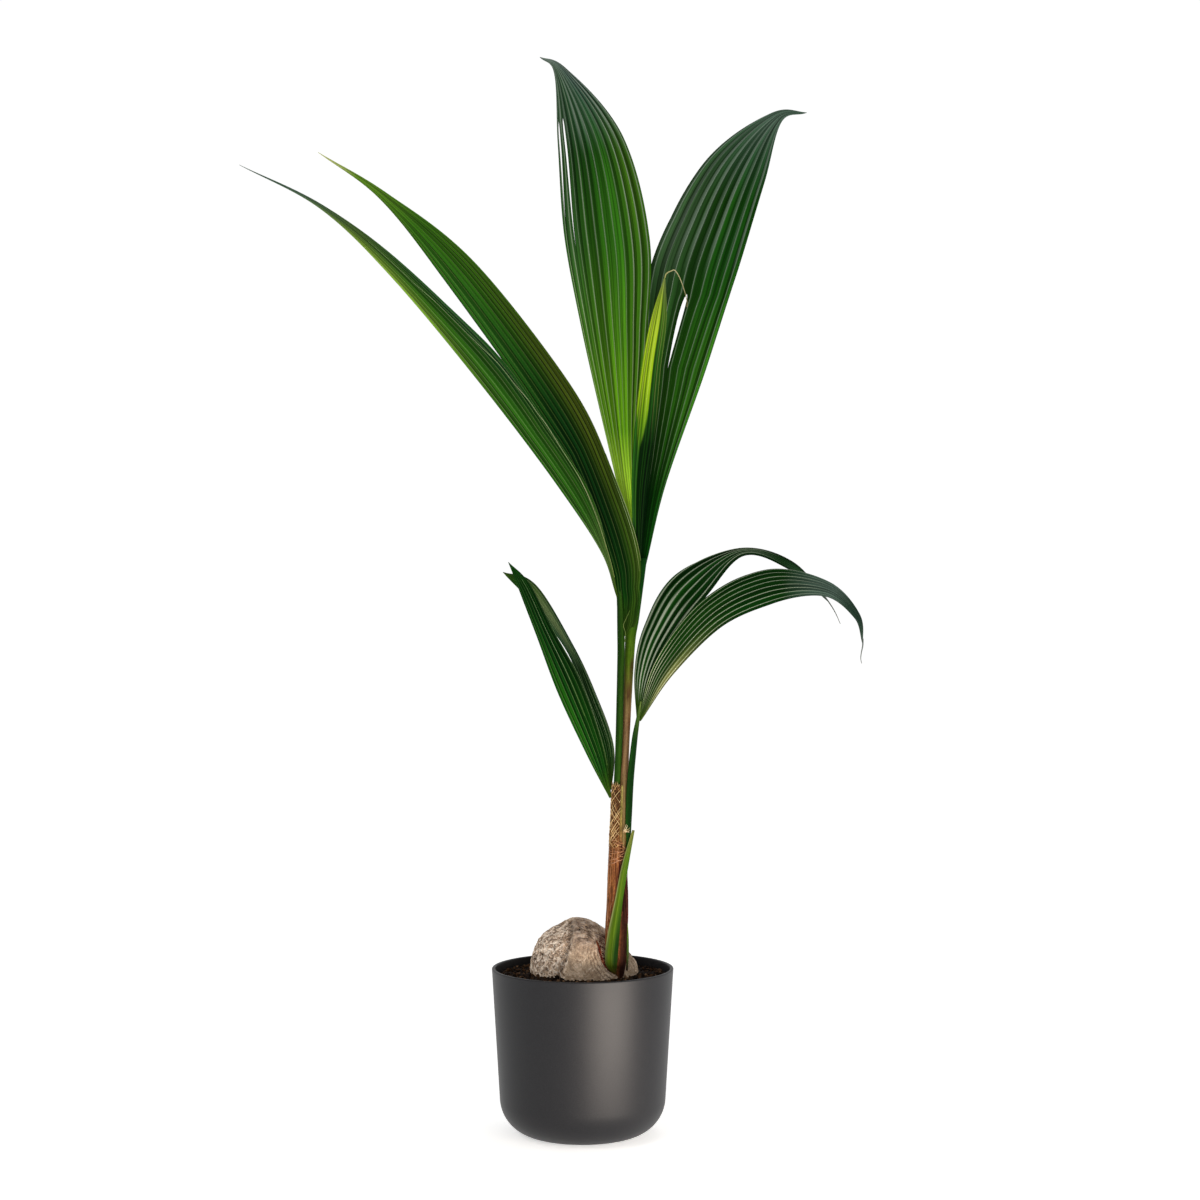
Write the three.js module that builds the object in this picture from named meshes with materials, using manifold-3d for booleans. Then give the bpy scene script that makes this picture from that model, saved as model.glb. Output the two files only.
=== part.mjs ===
import * as THREE from "three";
import { mergeVertices } from "three/addons/utils/BufferGeometryUtils.js";
import Module from "manifold-3d";

// A young coconut palm in a planter: a sprouted nut half sunk in soil, a short fibrous stem and
// two-lobed leaves, whose pleated halves have not yet split into leaflets.
// Millimetres, +Z up. The origin is the middle of the pot's flat underside, and -Y is the front.

// Clearance between neighbouring pieces
const GAP = 0.3;

// Pot: a tapered round planter with a large rounding at its foot
const POT_HEIGHT = 197;
const POT_RIM_RADIUS = 108;
const POT_FOOT_RADIUS = 96; // where the wall's line would meet the floor
const POT_CORNER = 44;
const POT_WALL = 4;
const POT_RIM_EASE = 1.2;
const POT_SIDES = 48;
const POT_ARC_STEPS = 7;

// Soil
const SOIL_DEPTH_BELOW_RIM = 10;
const SOIL_RISE = 3; // crown of the surface at the middle
const SOIL_SHOULDER = { radius: 0.6, rise: 0.7 }; // a point of that crown, as shares of its radius and rise

// Nut in its husk: three blunt ridges run along its length, which lies front to back
const NUT_CENTRE = [3, 20, 190];
const NUT_RADII = [64, 72, 65];
const NUT_RIDGES = 3;
const NUT_RIDGE_RISE = 0.06;
const NUT_RIDGE_ANGLE = THREE.MathUtils.degToRad(120);
const NUT_SEGMENTS = [26, 16];

// Upright limbs, as stations of [x, y, z, half width, half depth] from foot to top
const LIMB_SIDES = 10;
const LIMB_STEPS_PER_STATION = 2;
const STEM = [
  [38, -33, 189, 13, 12],
  [39.5, -29, 230, 12.8, 12],
  [41, -25, 280, 12, 11],
  [42, -18, 350, 10, 9],
  [44.6, -12, 415, 9.4, 8],
];
const UPPER_LEFT_PETIOLE = [
  [40.4, -13, 415.3, 3.6, 4],
  [43.4, -14, 468, 4.2, 4],
  [46, -14, 563, 4.1, 3.8],
  [45.4, -14, 600, 3.7, 3.4],
  [41.4, -14, 637.5, 2.2, 2.2],
];
const UPRIGHT_PETIOLE = [
  [49.3, -11, 415.3, 4.2, 4.2],
  [51.2, -6, 468, 4, 4],
  [56, 2, 576, 4.7, 4.2],
  [61, 5, 623, 5.2, 5],
  [68.5, 5, 677.5, 6.6, 6.2],
];
const LOWER_RIGHT_PETIOLE = [
  [55.8, -21.4, 322, 3.4, 3.2],
  [54.8, -23.4, 374, 3.4, 3.2],
  [57.6, -20, 421, 3.4, 3],
  [62.4, -15.5, 468, 3.1, 3],
  [66.6, -13.5, 490, 3.6, 3.4],
];

// Half blades. Each follows its path from the petiole to the tip, with a width and a turn in degrees at
// every point of the path. A blade with no turn faces the front, and a positive turn is anticlockwise
// about the path, seen from the tip. A blade that arches over is in two pieces, split at its bend.
const PLEATS = 5;
const PLEAT_DEPTH = 0.13; // rise and fall of a pleat, as a share of its width
const BLADE_STEPS = 17;
const BLADE_THICKNESS = 0.01; // as a share of the blade's length
const ROOT_THICKNESS = 0.4; // as a share of the full thickness
const TIP_THICKNESS = 1.2;
const FULL_THICKNESS_FROM = 0.25; // shares of the length between which the thickness is full
const FULL_THICKNESS_TO = 0.65;
const MARGIN_THINNING = 0.45;
const BLADES = {
  upright_frond_left_half: {
    path: [
      [64.6, 8, 678.1], [49, 14, 810], [39, 26, 951], [30, 48, 1072], [10, 90, 1199], [-29, 165, 1302],
      [-57, 225, 1335],
    ],
    widths: [3, 35, 82, 110, 86, 18, 2],
    turns: [20, 20, 20, 20, 18, 10, 0],
    bend: 0.58,
  },
  upright_frond_right_half: {
    path: [
      [72, 8, 678.1], [84, 16, 776], [112, 30, 916], [137, 54, 1041], [184, 96, 1159], [242, 160, 1242],
      [286, 210, 1260],
    ],
    widths: [6, 32, 77, 108, 85, 19, 2],
    turns: [-22, -22, -22, -22, -20, -10, 0],
    bend: 0.58,
  },
  upper_left_frond_front_half: {
    path: [
      [41, -14, 638.2], [25, -29, 693], [-17, -42, 774], [-106, -53, 898], [-212, -66, 1014],
      [-300, -82, 1087], [-393, -96, 1133],
    ],
    widths: [2, 10, 40, 54, 33, 9, 2],
    turns: [20, 40, 48, 50, 50, 50, 50],
  },
  upper_left_frond_back_half: {
    path: [
      [51.6, -14, 591], [54, -14, 674], [16, -8, 785], [-41, 0, 886], [-147, 2, 1027],
      [-236, -8, 1113], [-312, -24, 1162],
    ],
    widths: [2, 30, 41, 67, 62, 17, 2],
    turns: [4, 6, 22, 40, 46, 46, 46],
  },
  lower_right_frond_back_half: {
    path: [
      [65, -13, 491], [72, -11, 548], [90, -5, 596], [126, 2, 649], [189, 4, 691], [248, -2, 675],
      [292, -12, 631],
    ],
    widths: [2, 22, 38, 48, 35, 23, 2],
    turns: [-5, -8, -12, -22, -76, -62, -60],
    bend: 0.6,
  },
  lower_right_frond_front_half: {
    path: [
      [68, -14, 491], [99, -28, 555], [154, -50, 619], [217, -72, 650], [280, -92, 647],
      [314, -106, 616], [320, -114, 583],
    ],
    widths: [2, 25, 42, 52, 26, 11, 2],
    turns: [-25, -28, -34, -40, -44, -40, -30],
    bend: 0.55,
  },
  lower_left_frond_front_half: {
    path: [
      [33.2, -15, 400], [14, -22, 459], [-15, -32, 532], [-45, -42, 598], [-68, -52, 650], [-86, -60, 678],
    ],
    widths: [3, 25, 35, 23, 16, 2],
    turns: [20, 28, 30, 30, 30, 30],
  },
  lower_left_frond_back_half: {
    path: [
      [33.4, -10, 409], [29, -6, 463], [8, -4, 521], [-15, -6, 576], [-61, -14, 644], [-94, -22, 667],
    ],
    widths: [2, 22, 24, 18, 29, 2],
    turns: [-30, -50, -52, -55, -50, -40],
  },
  spear_leaf: {
    path: [
      [65, 0.6, 678], [67, -4, 764], [74, -4, 834], [82, -1, 910], [91, 4, 968], [98, 10, 1019],
    ],
    widths: [7, 17, 24, 22, 18, 2],
    turns: [-8, -8, -8, -8, -8, -8],
    thickness: 0.024, // the leaf is still rolled up
    colour: "#9dbb2c",
  },
  scale_leaf: {
    path: [
      [33.8, -48.2, 200], [36.4, -42.8, 240], [42.4, -38.5, 280], [50, -32.2, 321], [60, -28, 363],
    ],
    widths: [16, 14, 9, 8, 2],
    turns: [0, 0, 0, 0, 0],
    thickness: 0.016,
    pleats: 2,
    camber: 0.12,
    colour: "#5f8d1f",
  },
};

// Colours and finishes
const LEAF_GREEN = "#24571a";
const PETIOLE_GREEN = "#3d6a1c";
const MATERIALS = {
  pot: { color: "#3f3d3f", roughness: 0.45 },
  soil: { color: "#3a2a1e", roughness: 0.95 },
  coconut: { color: "#a3937c", roughness: 0.9 },
  stem: { color: "#6f4a30", roughness: 0.85 },
  petiole: { color: PETIOLE_GREEN, roughness: 0.5 },
  blade: { color: LEAF_GREEN, roughness: 0.45 },
};

const wasm = await Module();
wasm.setup();

const palm = new THREE.Group();

function addPiece(name, geometry, look) {
  const piece = new THREE.Mesh(geometry, new THREE.MeshStandardMaterial({ metalness: 0, ...look }));
  piece.name = name;
  palm.add(piece);
}

function curveThrough(points) {
  return new THREE.CatmullRomCurve3(points.map((point) => new THREE.Vector3(...point)), false, "catmullrom");
}

// Closed skin over rings of equal length. Each end is closed by strips across its ring.
function loft(rings) {
  const size = rings[0].length;
  const indices = [];
  const quad = (a, b, c, d) => indices.push(a, b, c, a, c, d);
  for (let ring = 0; ring < rings.length - 1; ring += 1) {
    for (let i = 0; i < size; i += 1) {
      const next = (i + 1) % size;
      quad(ring * size + i, ring * size + next, (ring + 1) * size + next, (ring + 1) * size + i);
    }
  }
  const last = (rings.length - 1) * size;
  for (let i = 0; i < size / 2 - 1; i += 1) {
    const across = size - 1 - i;
    quad(i, across, across - 1, i + 1);
    quad(last + i, last + i + 1, last + across - 1, last + across);
  }
  const geometry = new THREE.BufferGeometry();
  const positions = rings.flat().flatMap((point) => point.toArray());
  geometry.setAttribute("position", new THREE.Float32BufferAttribute(positions, 3));
  geometry.setIndex(indices);
  geometry.computeVertexNormals();
  return geometry;
}

// Round limb with level rings, grown on all sides by the given clearance
function limb(stations, clearance = 0) {
  const middle = curveThrough(stations.map(([x, y, z]) => [x, y, z]));
  const halves = curveThrough(stations.map(([, , , width, depth]) => [width, depth, 0]));
  const steps = (stations.length - 1) * LIMB_STEPS_PER_STATION;
  const rings = [];
  for (let step = 0; step <= steps; step += 1) {
    const centre = middle.getPoint(step / steps);
    const half = halves.getPoint(step / steps).addScalar(clearance);
    const end = (step === steps) - (step === 0);
    const ring = [];
    for (let i = 0; i < LIMB_SIDES; i += 1) {
      const angle = (i / LIMB_SIDES) * 2 * Math.PI;
      ring.push(new THREE.Vector3(
        centre.x + half.x * Math.cos(angle),
        centre.y + half.y * Math.sin(angle),
        centre.z + end * clearance,
      ));
    }
    rings.push(ring);
  }
  return loft(rings);
}

// Axes of a blade at a share of its length: out of its face, and across it
function bladeAxes(path, turn, share) {
  const along = path.getTangent(share);
  const front = new THREE.Vector3(0, -1, 0);
  const face = front.addScaledVector(along, -front.dot(along)).normalize();
  face.applyAxisAngle(along, THREE.MathUtils.degToRad(turn));
  return { face, across: along.clone().cross(face) };
}

// Half thickness of a blade: full in its middle, thinner at the petiole and the tip
function halfThickness(full, share) {
  const growth = THREE.MathUtils.smoothstep(share, 0, FULL_THICKNESS_FROM);
  const decline = THREE.MathUtils.smoothstep(share, FULL_THICKNESS_TO, 1);
  const thickness = full * THREE.MathUtils.lerp(ROOT_THICKNESS, 1, growth) * (1 - decline);
  return Math.max(thickness, TIP_THICKNESS) / 2;
}

// Pleated blade between two shares of its length
function blade(leaf, from, to) {
  const { thickness = BLADE_THICKNESS, pleats = PLEATS, camber = 0 } = leaf;
  const path = curveThrough(leaf.path);
  const form = curveThrough(leaf.path.map((_, i) => [leaf.widths[i], leaf.turns[i], 0]));
  const full = thickness * path.getLength();
  const steps = Math.ceil(BLADE_STEPS * (to - from));
  const rings = [];
  for (let step = 0; step <= steps; step += 1) {
    const share = THREE.MathUtils.lerp(from, to, step / steps);
    const { x: width, y: turn } = form.getPoint(share);
    const { face, across } = bladeAxes(path, turn, share);
    const half = halfThickness(full, share);
    const upper = [];
    const lower = [];
    for (let i = 0; i <= 2 * pleats; i += 1) {
      const reach = i / pleats - 1;
      const pleat = (i % 2 === 0 ? -1 : 1) * (PLEAT_DEPTH * width) / pleats;
      const arch = camber * width * (1 - reach * reach);
      const edge = half * (1 - MARGIN_THINNING * reach * reach);
      const middle = path.getPoint(share).addScaledVector(across, (reach * width) / 2);
      upper.push(middle.clone().addScaledVector(face, arch + pleat + edge));
      lower.unshift(middle.addScaledVector(face, arch + pleat - edge));
    }
    rings.push([...upper, ...lower]);
  }
  return loft(rings);
}

// Turned profile of points [radius, height]
function turned(points) {
  const profile = points.map(([radius, height]) => new THREE.Vector2(radius, height));
  return new THREE.LatheGeometry(profile, POT_SIDES).rotateX(Math.PI / 2);
}

const potSlope = Math.atan2(POT_RIM_RADIUS - POT_FOOT_RADIUS, POT_HEIGHT);
const cornerRadius = POT_FOOT_RADIUS + POT_CORNER * Math.tan(potSlope) - POT_CORNER / Math.cos(potSlope);

// Rounded foot of the wall's outline, drawn in by the given distance, from the floor up to the wall
function cornerPoints(inset) {
  const points = [];
  for (let step = 0; step <= POT_ARC_STEPS; step += 1) {
    const angle = THREE.MathUtils.lerp(-Math.PI / 2, -potSlope, step / POT_ARC_STEPS);
    const radius = POT_CORNER - inset;
    points.push([cornerRadius + radius * Math.cos(angle), POT_CORNER + radius * Math.sin(angle)]);
  }
  return points;
}

// Radius of the wall at a height, drawn in by the given distance
function wallRadius(height, inset) {
  return POT_FOOT_RADIUS + height * Math.tan(potSlope) - inset / Math.cos(potSlope);
}

function potGeometry() {
  const easeHeight = POT_HEIGHT - POT_RIM_EASE;
  return turned([
    [0, 0],
    ...cornerPoints(0),
    [wallRadius(easeHeight, 0), easeHeight],
    [wallRadius(POT_HEIGHT, POT_RIM_EASE), POT_HEIGHT],
    [wallRadius(POT_HEIGHT, POT_WALL - POT_RIM_EASE), POT_HEIGHT],
    [wallRadius(easeHeight, POT_WALL), easeHeight],
    ...cornerPoints(POT_WALL).reverse(),
    [0, POT_WALL],
  ]);
}

const soilLevel = POT_HEIGHT - SOIL_DEPTH_BELOW_RIM;

function soilGeometry() {
  const inset = POT_WALL + GAP;
  return turned([
    [0, inset],
    ...cornerPoints(inset),
    [wallRadius(soilLevel, inset), soilLevel],
    [wallRadius(soilLevel, inset) * SOIL_SHOULDER.radius, soilLevel + SOIL_RISE * SOIL_SHOULDER.rise],
    [0, soilLevel + SOIL_RISE],
  ]);
}

// Husk of the nut, grown on all sides by the given clearance
function nutGeometry(clearance = 0) {
  const geometry = new THREE.SphereGeometry(1, ...NUT_SEGMENTS);
  const points = geometry.getAttribute("position");
  const point = new THREE.Vector3();
  for (let i = 0; i < points.count; i += 1) {
    point.fromBufferAttribute(points, i);
    const round = Math.atan2(point.z, point.x);
    const girth = 1 - point.y * point.y;
    const ridge = 1 + NUT_RIDGE_RISE * girth * Math.cos(NUT_RIDGES * (round - NUT_RIDGE_ANGLE));
    point.set(
      point.x * (NUT_RADII[0] + clearance) * ridge,
      point.y * (NUT_RADII[1] + clearance),
      point.z * (NUT_RADII[2] + clearance) * ridge,
    );
    points.setXYZ(i, point.x, point.y, point.z);
  }
  return geometry.translate(...NUT_CENTRE);
}

function solid(geometry) {
  const bare = geometry.clone();
  bare.deleteAttribute("normal");
  bare.deleteAttribute("uv");
  const merged = mergeVertices(bare);
  return new wasm.Manifold(new wasm.Mesh({
    numProp: 3,
    vertProperties: new Float32Array(merged.getAttribute("position").array),
    triVerts: new Uint32Array(merged.getIndex().array),
  }));
}

function cutBy(geometry, ...cutters) {
  const rest = cutters.reduce((body, cutter) => body.subtract(solid(cutter)), solid(geometry));
  const mesh = rest.getMesh();
  const result = new THREE.BufferGeometry();
  result.setAttribute("position", new THREE.Float32BufferAttribute(mesh.vertProperties, 3));
  result.setIndex(Array.from(mesh.triVerts));
  result.computeVertexNormals();
  return result;
}

addPiece("pot", potGeometry(), MATERIALS.pot);
addPiece("soil", cutBy(soilGeometry(), nutGeometry(GAP), limb(STEM, GAP)), MATERIALS.soil);
addPiece("coconut", cutBy(nutGeometry(), limb(STEM, GAP)), MATERIALS.coconut);
addPiece("stem", limb(STEM), MATERIALS.stem);
addPiece("upper_left_frond_petiole", limb(UPPER_LEFT_PETIOLE), MATERIALS.petiole);
addPiece("upright_frond_petiole", limb(UPRIGHT_PETIOLE), MATERIALS.petiole);
addPiece("lower_right_frond_petiole", limb(LOWER_RIGHT_PETIOLE), MATERIALS.petiole);
for (const [name, leaf] of Object.entries(BLADES)) {
  const look = { ...MATERIALS.blade, color: leaf.colour ?? LEAF_GREEN };
  if (leaf.bend) {
    const slit = GAP / curveThrough(leaf.path).getLength();
    addPiece(`${name}_inner`, blade(leaf, 0, leaf.bend), look);
    addPiece(`${name}_outer`, blade(leaf, leaf.bend + slit, 1), look);
  } else {
    addPiece(name, blade(leaf, 0, 1), look);
  }
}

export default palm;
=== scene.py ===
import math

import bpy
import numpy as np
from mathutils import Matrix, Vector, noise


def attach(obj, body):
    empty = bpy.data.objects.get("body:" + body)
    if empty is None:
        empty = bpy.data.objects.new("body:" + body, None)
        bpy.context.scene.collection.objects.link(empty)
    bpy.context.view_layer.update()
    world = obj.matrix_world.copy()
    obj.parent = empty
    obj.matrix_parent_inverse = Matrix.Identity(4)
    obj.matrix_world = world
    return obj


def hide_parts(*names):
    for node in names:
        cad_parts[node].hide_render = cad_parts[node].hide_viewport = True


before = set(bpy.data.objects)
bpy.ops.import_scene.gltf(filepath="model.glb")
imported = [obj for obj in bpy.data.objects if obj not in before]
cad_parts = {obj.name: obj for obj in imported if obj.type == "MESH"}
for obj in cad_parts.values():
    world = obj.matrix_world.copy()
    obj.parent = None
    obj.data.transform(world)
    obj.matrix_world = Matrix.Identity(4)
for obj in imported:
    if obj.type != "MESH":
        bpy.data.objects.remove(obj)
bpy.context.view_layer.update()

MM = 0.001
TURN = 2 * math.pi
SMALL_STEP = 1e-4
FRONT = np.array([0.0, -1.0, 0.0])
SEED = 41
rng = np.random.default_rng(SEED)

SRGB_TOE, SRGB_SLOPE, SRGB_SHIFT, SRGB_POWER = 0.04045, 12.92, 0.055, 2.4
NOISE_SHIFT = Vector((17.3, 7.9, 3.1))  # from seed to seed
NOISE_FALL, NOISE_STEP = 0.9, 2.0  # from octave to octave


def linear(code):
    """Linear colour of an sRGB hex code."""
    part = np.array([int(code[i:i + 2], 16) for i in (1, 3, 5)]) / 255
    curve = ((part + SRGB_SHIFT) / (1 + SRGB_SHIFT)) ** SRGB_POWER
    return np.where(part <= SRGB_TOE, part / SRGB_SLOPE, curve)


def ramp(stops, places):
    """Colours at places along stops of (place, hex code)."""
    where = [stop[0] for stop in stops]
    colours = np.array([linear(stop[1]) for stop in stops])
    return np.stack([np.interp(places, where, colours[:, k]) for k in range(3)], -1)


def level(stops, places):
    """Values at places along stops of (place, value)."""
    return np.interp(places, *zip(*stops))


def mixed(first, second, share):
    return first + (second - first) * np.asarray(share)[..., None]


def over(colour, code, share):
    """A colour with a share of another, given as a hex code, laid over it."""
    return mixed(colour, linear(code), share)


def smoothstep(low, high, value):
    share = np.clip((value - low) / (high - low), 0, 1)
    return share * share * (3 - 2 * share)


def plateau(value, start, full, fading, end):
    """1 from full to fading, eased to 0 at start and at end."""
    return smoothstep(start, full, value) * smoothstep(end, fading, value)


def bell(offset, width):
    return np.exp(-(offset / width) ** 2)


def unit(vectors):
    return vectors / np.linalg.norm(vectors, axis=-1, keepdims=True)


def through(points, shares):
    """Places on the uniform Catmull-Rom curve through the points, at shares of its length."""
    points = np.asarray(points, float)
    last = len(points) - 1
    place = np.clip(shares, 0, 1) * last
    start = np.minimum(place.astype(int), last - 1)
    part = (place - start)[:, None]
    padded = np.vstack([2 * points[0] - points[1], points, 2 * points[-1] - points[-2]])
    a, b, c, d = (padded[start + k] for k in range(4))
    return b + 0.5 * part * (c - a + part * (2 * a - 5 * b + 4 * c - d + part * (3 * (b - c) + d - a)))


def fractal(points, size, octaves, seed):
    """Smooth noise of about -1 to 1 at the points, with features of the given size."""
    places = (Vector(point) / size + NOISE_SHIFT * seed for point in points)
    return np.array([noise.fractal(spot, NOISE_FALL, NOISE_STEP, octaves) for spot in places])


# Meshes

MAP_COLUMNS = 4
MAP_MANY = 40  # parts from which the map has that number of columns, and not one
MAP_USED = np.array([0.96, 0.92])  # of a cell
CAP_MAP = 0.01
NO_GRAIN = 0


class Shape:
    """Points and faces, gathered part by part into one mesh. Each point has a colour and a place in its
    grain: across it, along it, and a number for its part. Each part has its own cell of the map."""

    def __init__(self):
        self.points, self.tints, self.grain = [], [], []
        self.faces, self.maps = [], []
        self.size = 0

    def add(self, points, faces, places, tint, grain):
        points = points.reshape(-1, 3)
        self.points.append(points)
        self.tints.append(np.broadcast_to(tint, points.shape))
        self.grain.append(np.broadcast_to(grain, points.shape))
        self.faces.append([[i + self.size for i in face] for face in faces])
        self.maps.append(places)
        self.size += len(points)

    def packed_maps(self):
        """Map places of all corners, with one cell for each part."""
        columns = 1 if len(self.maps) < MAP_MANY else MAP_COLUMNS
        cells = np.array([columns, math.ceil(len(self.maps) / columns)])
        corners = (np.array([k % columns, k // columns]) for k in range(len(self.maps)))
        return np.concatenate([
            (corner + np.array(places) * MAP_USED) / cells for corner, places in zip(corners, self.maps)])

    def mesh(self, name):
        mesh = bpy.data.meshes.new(name)
        faces = [face for part in self.faces for face in part]
        mesh.from_pydata((np.concatenate(self.points) * MM).tolist(), [], faces)
        layer = mesh.uv_layers.new(name="OFBake")
        layer.data.foreach_set("uv", self.packed_maps().astype(np.float32).ravel())
        tints = np.concatenate(self.tints)
        tints = np.column_stack([tints, np.ones(len(tints))]).astype(np.float32)
        mesh.color_attributes.new("tint", "FLOAT_COLOR", "POINT").data.foreach_set("color", tints.ravel())
        grain = np.concatenate(self.grain).astype(np.float32)
        mesh.attributes.new("grain", "FLOAT_VECTOR", "POINT").data.foreach_set("vector", grain.ravel())
        mesh.shade_smooth()
        mesh.validate()
        return mesh


def place(name, shape, material, slot, *nodes):
    """Makes a piece that rides on the plant and stands for the given CAD nodes."""
    mesh = shape.mesh(name)
    mesh.materials.append(material)
    piece = bpy.data.objects.new(name, mesh)
    bpy.context.scene.collection.objects.link(piece)
    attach(piece, "root")
    if nodes:
        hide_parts(*nodes)


def grid(rows, columns):
    """Quads over rings of points, with the places of their corners in the unit square."""
    row, column = (k.ravel() for k in np.mgrid[0:rows - 1, 0:columns])
    corners = ((0, 0), (0, 1), (1, 1), (1, 0))
    faces = np.stack([(row + i) * columns + (column + j) % columns for i, j in corners], 1)
    places = [np.stack([(row + i) / (rows - 1), (column + j) / columns], 1) for i, j in corners]
    return faces.tolist(), np.stack(places, 1).reshape(-1, 2)


def capped(rows, columns):
    """Faces of a closed skin over rings of points, with a flat cap at each end."""
    faces, places = grid(rows, columns)
    faces.append(list(range(columns))[::-1])
    faces.append(list(range((rows - 1) * columns, rows * columns)))
    around = np.arange(columns) / columns * TURN
    disc = np.column_stack([np.cos(around), np.sin(around)]) * CAP_MAP
    return faces, np.concatenate([places, disc[::-1] + CAP_MAP, disc + 1 - CAP_MAP])


def place_skin(name, rings, tint, grain, material, slot, node):
    """Makes a piece of one closed skin over rings of points."""
    shape = Shape()
    shape.add(rings, *capped(*rings.shape[:2]), tint, grain)
    place(name, shape, material, slot, node)


def add_tube(shape, path, radii, tint, sides):
    """Round closed tube along a path."""
    path = np.asarray(path, float)
    along = unit(np.gradient(path, axis=0))
    spare = np.eye(3)[np.abs(along.mean(0)).argmin()]
    across = unit(np.cross(along, spare))
    rise = np.cross(along, across)
    angle = np.arange(sides) * TURN / sides
    ring = across[:, None] * np.cos(angle)[:, None] + rise[:, None] * np.sin(angle)[:, None]
    points = path[:, None] + ring * np.broadcast_to(radii, len(path))[:, None, None]
    reach = np.concatenate([[0], np.linalg.norm(np.diff(path, axis=0), axis=1).cumsum()])
    grain = np.stack(np.broadcast_arrays(
        np.arange(sides) / sides, reach[:, None], np.float64(len(shape.points))), -1).reshape(-1, 3)
    tint = np.broadcast_to(np.asarray(tint)[:, None] if np.ndim(tint) == 2 else tint, points.shape)
    shape.add(points, *capped(len(path), sides), tint.reshape(-1, 3), grain)


LIMB_SEAM = 0.75  # of a turn, which puts it at the back


def limb_grid(rows, sides):
    """Angle and share of the length of each point on a limb."""
    angles = (np.arange(sides) / sides - LIMB_SEAM) * TURN
    return (part.ravel() for part in np.meshgrid(angles, np.linspace(0, 1, rows)))


def limb_points(stations, shares, angles, lift=0.0):
    """Places on a limb given as stations of [x, y, z, half width, half depth]."""
    form = through(stations, np.asarray(shares, float).ravel())
    out = np.stack([np.cos(angles), np.sin(angles), np.zeros_like(angles)], -1)
    reach = np.column_stack([form[:, 3], form[:, 4], form[:, 4]]) + np.asarray(lift).reshape(-1, 1)
    return form[:, :3] + out.reshape(-1, 3) * reach


def limb_lines(angle, height, girth, squeeze, size, octaves, seed):
    """Noise in lines along a limb."""
    around = np.column_stack([np.cos(angle), np.sin(angle)]) * girth
    return fractal(np.column_stack([around, height * squeeze]), size, octaves, seed)


# Materials

STREAK_DETAIL, STREAK_ROUGHNESS, STREAK_RANGE = 4.0, 0.6, (0.3, 0.7)
SPOT_SIZE, SPOT_DETAIL, SPOT_RANGE = 1 / 420, 3.0, (0.35, 0.65)  # size in metres
MOTTLE_DETAIL, MOTTLE_RANGE = 5.0, (0.3, 0.7)
PLAIN_ROUGHNESS = 0.5
STREAK_GLOSS, MOTTLE_GLOSS = 0.1, 0.06  # by how much the roughness varies
STREAK_BUMP, MOTTLE_BUMP = 0.6, 0.5


def material(name):
    made = bpy.data.materials.new(name)
    made.use_nodes = True
    return made, made.node_tree


def attribute(tree, name, output):
    made = tree.nodes.new("ShaderNodeAttribute")
    made.attribute_name = name
    return made.outputs[output]


def vector_math(tree, operation, vector):
    made = tree.nodes.new("ShaderNodeVectorMath")
    made.operation = operation
    tree.links.new(vector, made.inputs[0])
    return made


def noise_value(tree, vector, size, detail, roughness=PLAIN_ROUGHNESS):
    made = tree.nodes.new("ShaderNodeTexNoise")
    for name, value in (("Scale", 1 / size), ("Detail", detail), ("Roughness", roughness)):
        made.inputs[name].default_value = value
    tree.links.new(vector, made.inputs["Vector"])
    return made.outputs["Fac"]


def object_places(tree):
    return tree.nodes.new("ShaderNodeTexCoord").outputs["Object"]


def ranged(tree, value, low, high, first=0.0, last=1.0):
    """Maps a value from the range of first to last onto that of low to high."""
    made = tree.nodes.new("ShaderNodeMapRange")
    for name, limit in (("From Min", first), ("From Max", last), ("To Min", low), ("To Max", high)):
        made.inputs[name].default_value = limit
    tree.links.new(value, made.inputs["Value"])
    return made.outputs["Result"]


def varied(tree, colour, pattern, depth, limits):
    """Makes a colour darker and lighter by a pattern."""
    made = vector_math(tree, "SCALE", colour)
    tree.links.new(ranged(tree, pattern, 1 - depth, 1 + depth, *limits), made.inputs["Scale"])
    return made.outputs["Vector"]


def set_surface(tree, colour, pattern, roughness, gloss, shine, relief, strength):
    """Gives the shader its colour, and a roughness and a relief that follow a pattern."""
    shader = tree.nodes["Principled BSDF"]
    bump = tree.nodes.new("ShaderNodeBump")
    bump.inputs["Strength"].default_value = strength
    bump.inputs["Distance"].default_value = relief * MM
    shader.inputs["Specular IOR Level"].default_value = shine
    rough = ranged(tree, pattern, roughness - gloss, roughness + gloss)
    tree.links.new(colour, shader.inputs["Base Color"])
    tree.links.new(rough, shader.inputs["Roughness"])
    tree.links.new(pattern, bump.inputs["Height"])
    tree.links.new(bump.outputs["Normal"], shader.inputs["Normal"])


def streaked(name, stretch, depth, roughness, shine, relief, speckle=0.0):
    """Takes its colour from the mesh, with darker and lighter streaks along the grain, and a relief."""
    made, tree = material(name)
    grain = vector_math(tree, "MULTIPLY", attribute(tree, "grain", "Vector"))
    grain.inputs[1].default_value = stretch
    streaks = noise_value(tree, grain.outputs["Vector"], 1.0, STREAK_DETAIL, STREAK_ROUGHNESS)
    colour = varied(tree, attribute(tree, "tint", "Color"), streaks, depth, STREAK_RANGE)
    if speckle:
        spots = noise_value(tree, object_places(tree), SPOT_SIZE, SPOT_DETAIL)
        colour = varied(tree, colour, spots, speckle, SPOT_RANGE)
    set_surface(tree, colour, streaks, roughness, STREAK_GLOSS, shine, relief, STREAK_BUMP)
    return made


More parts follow.
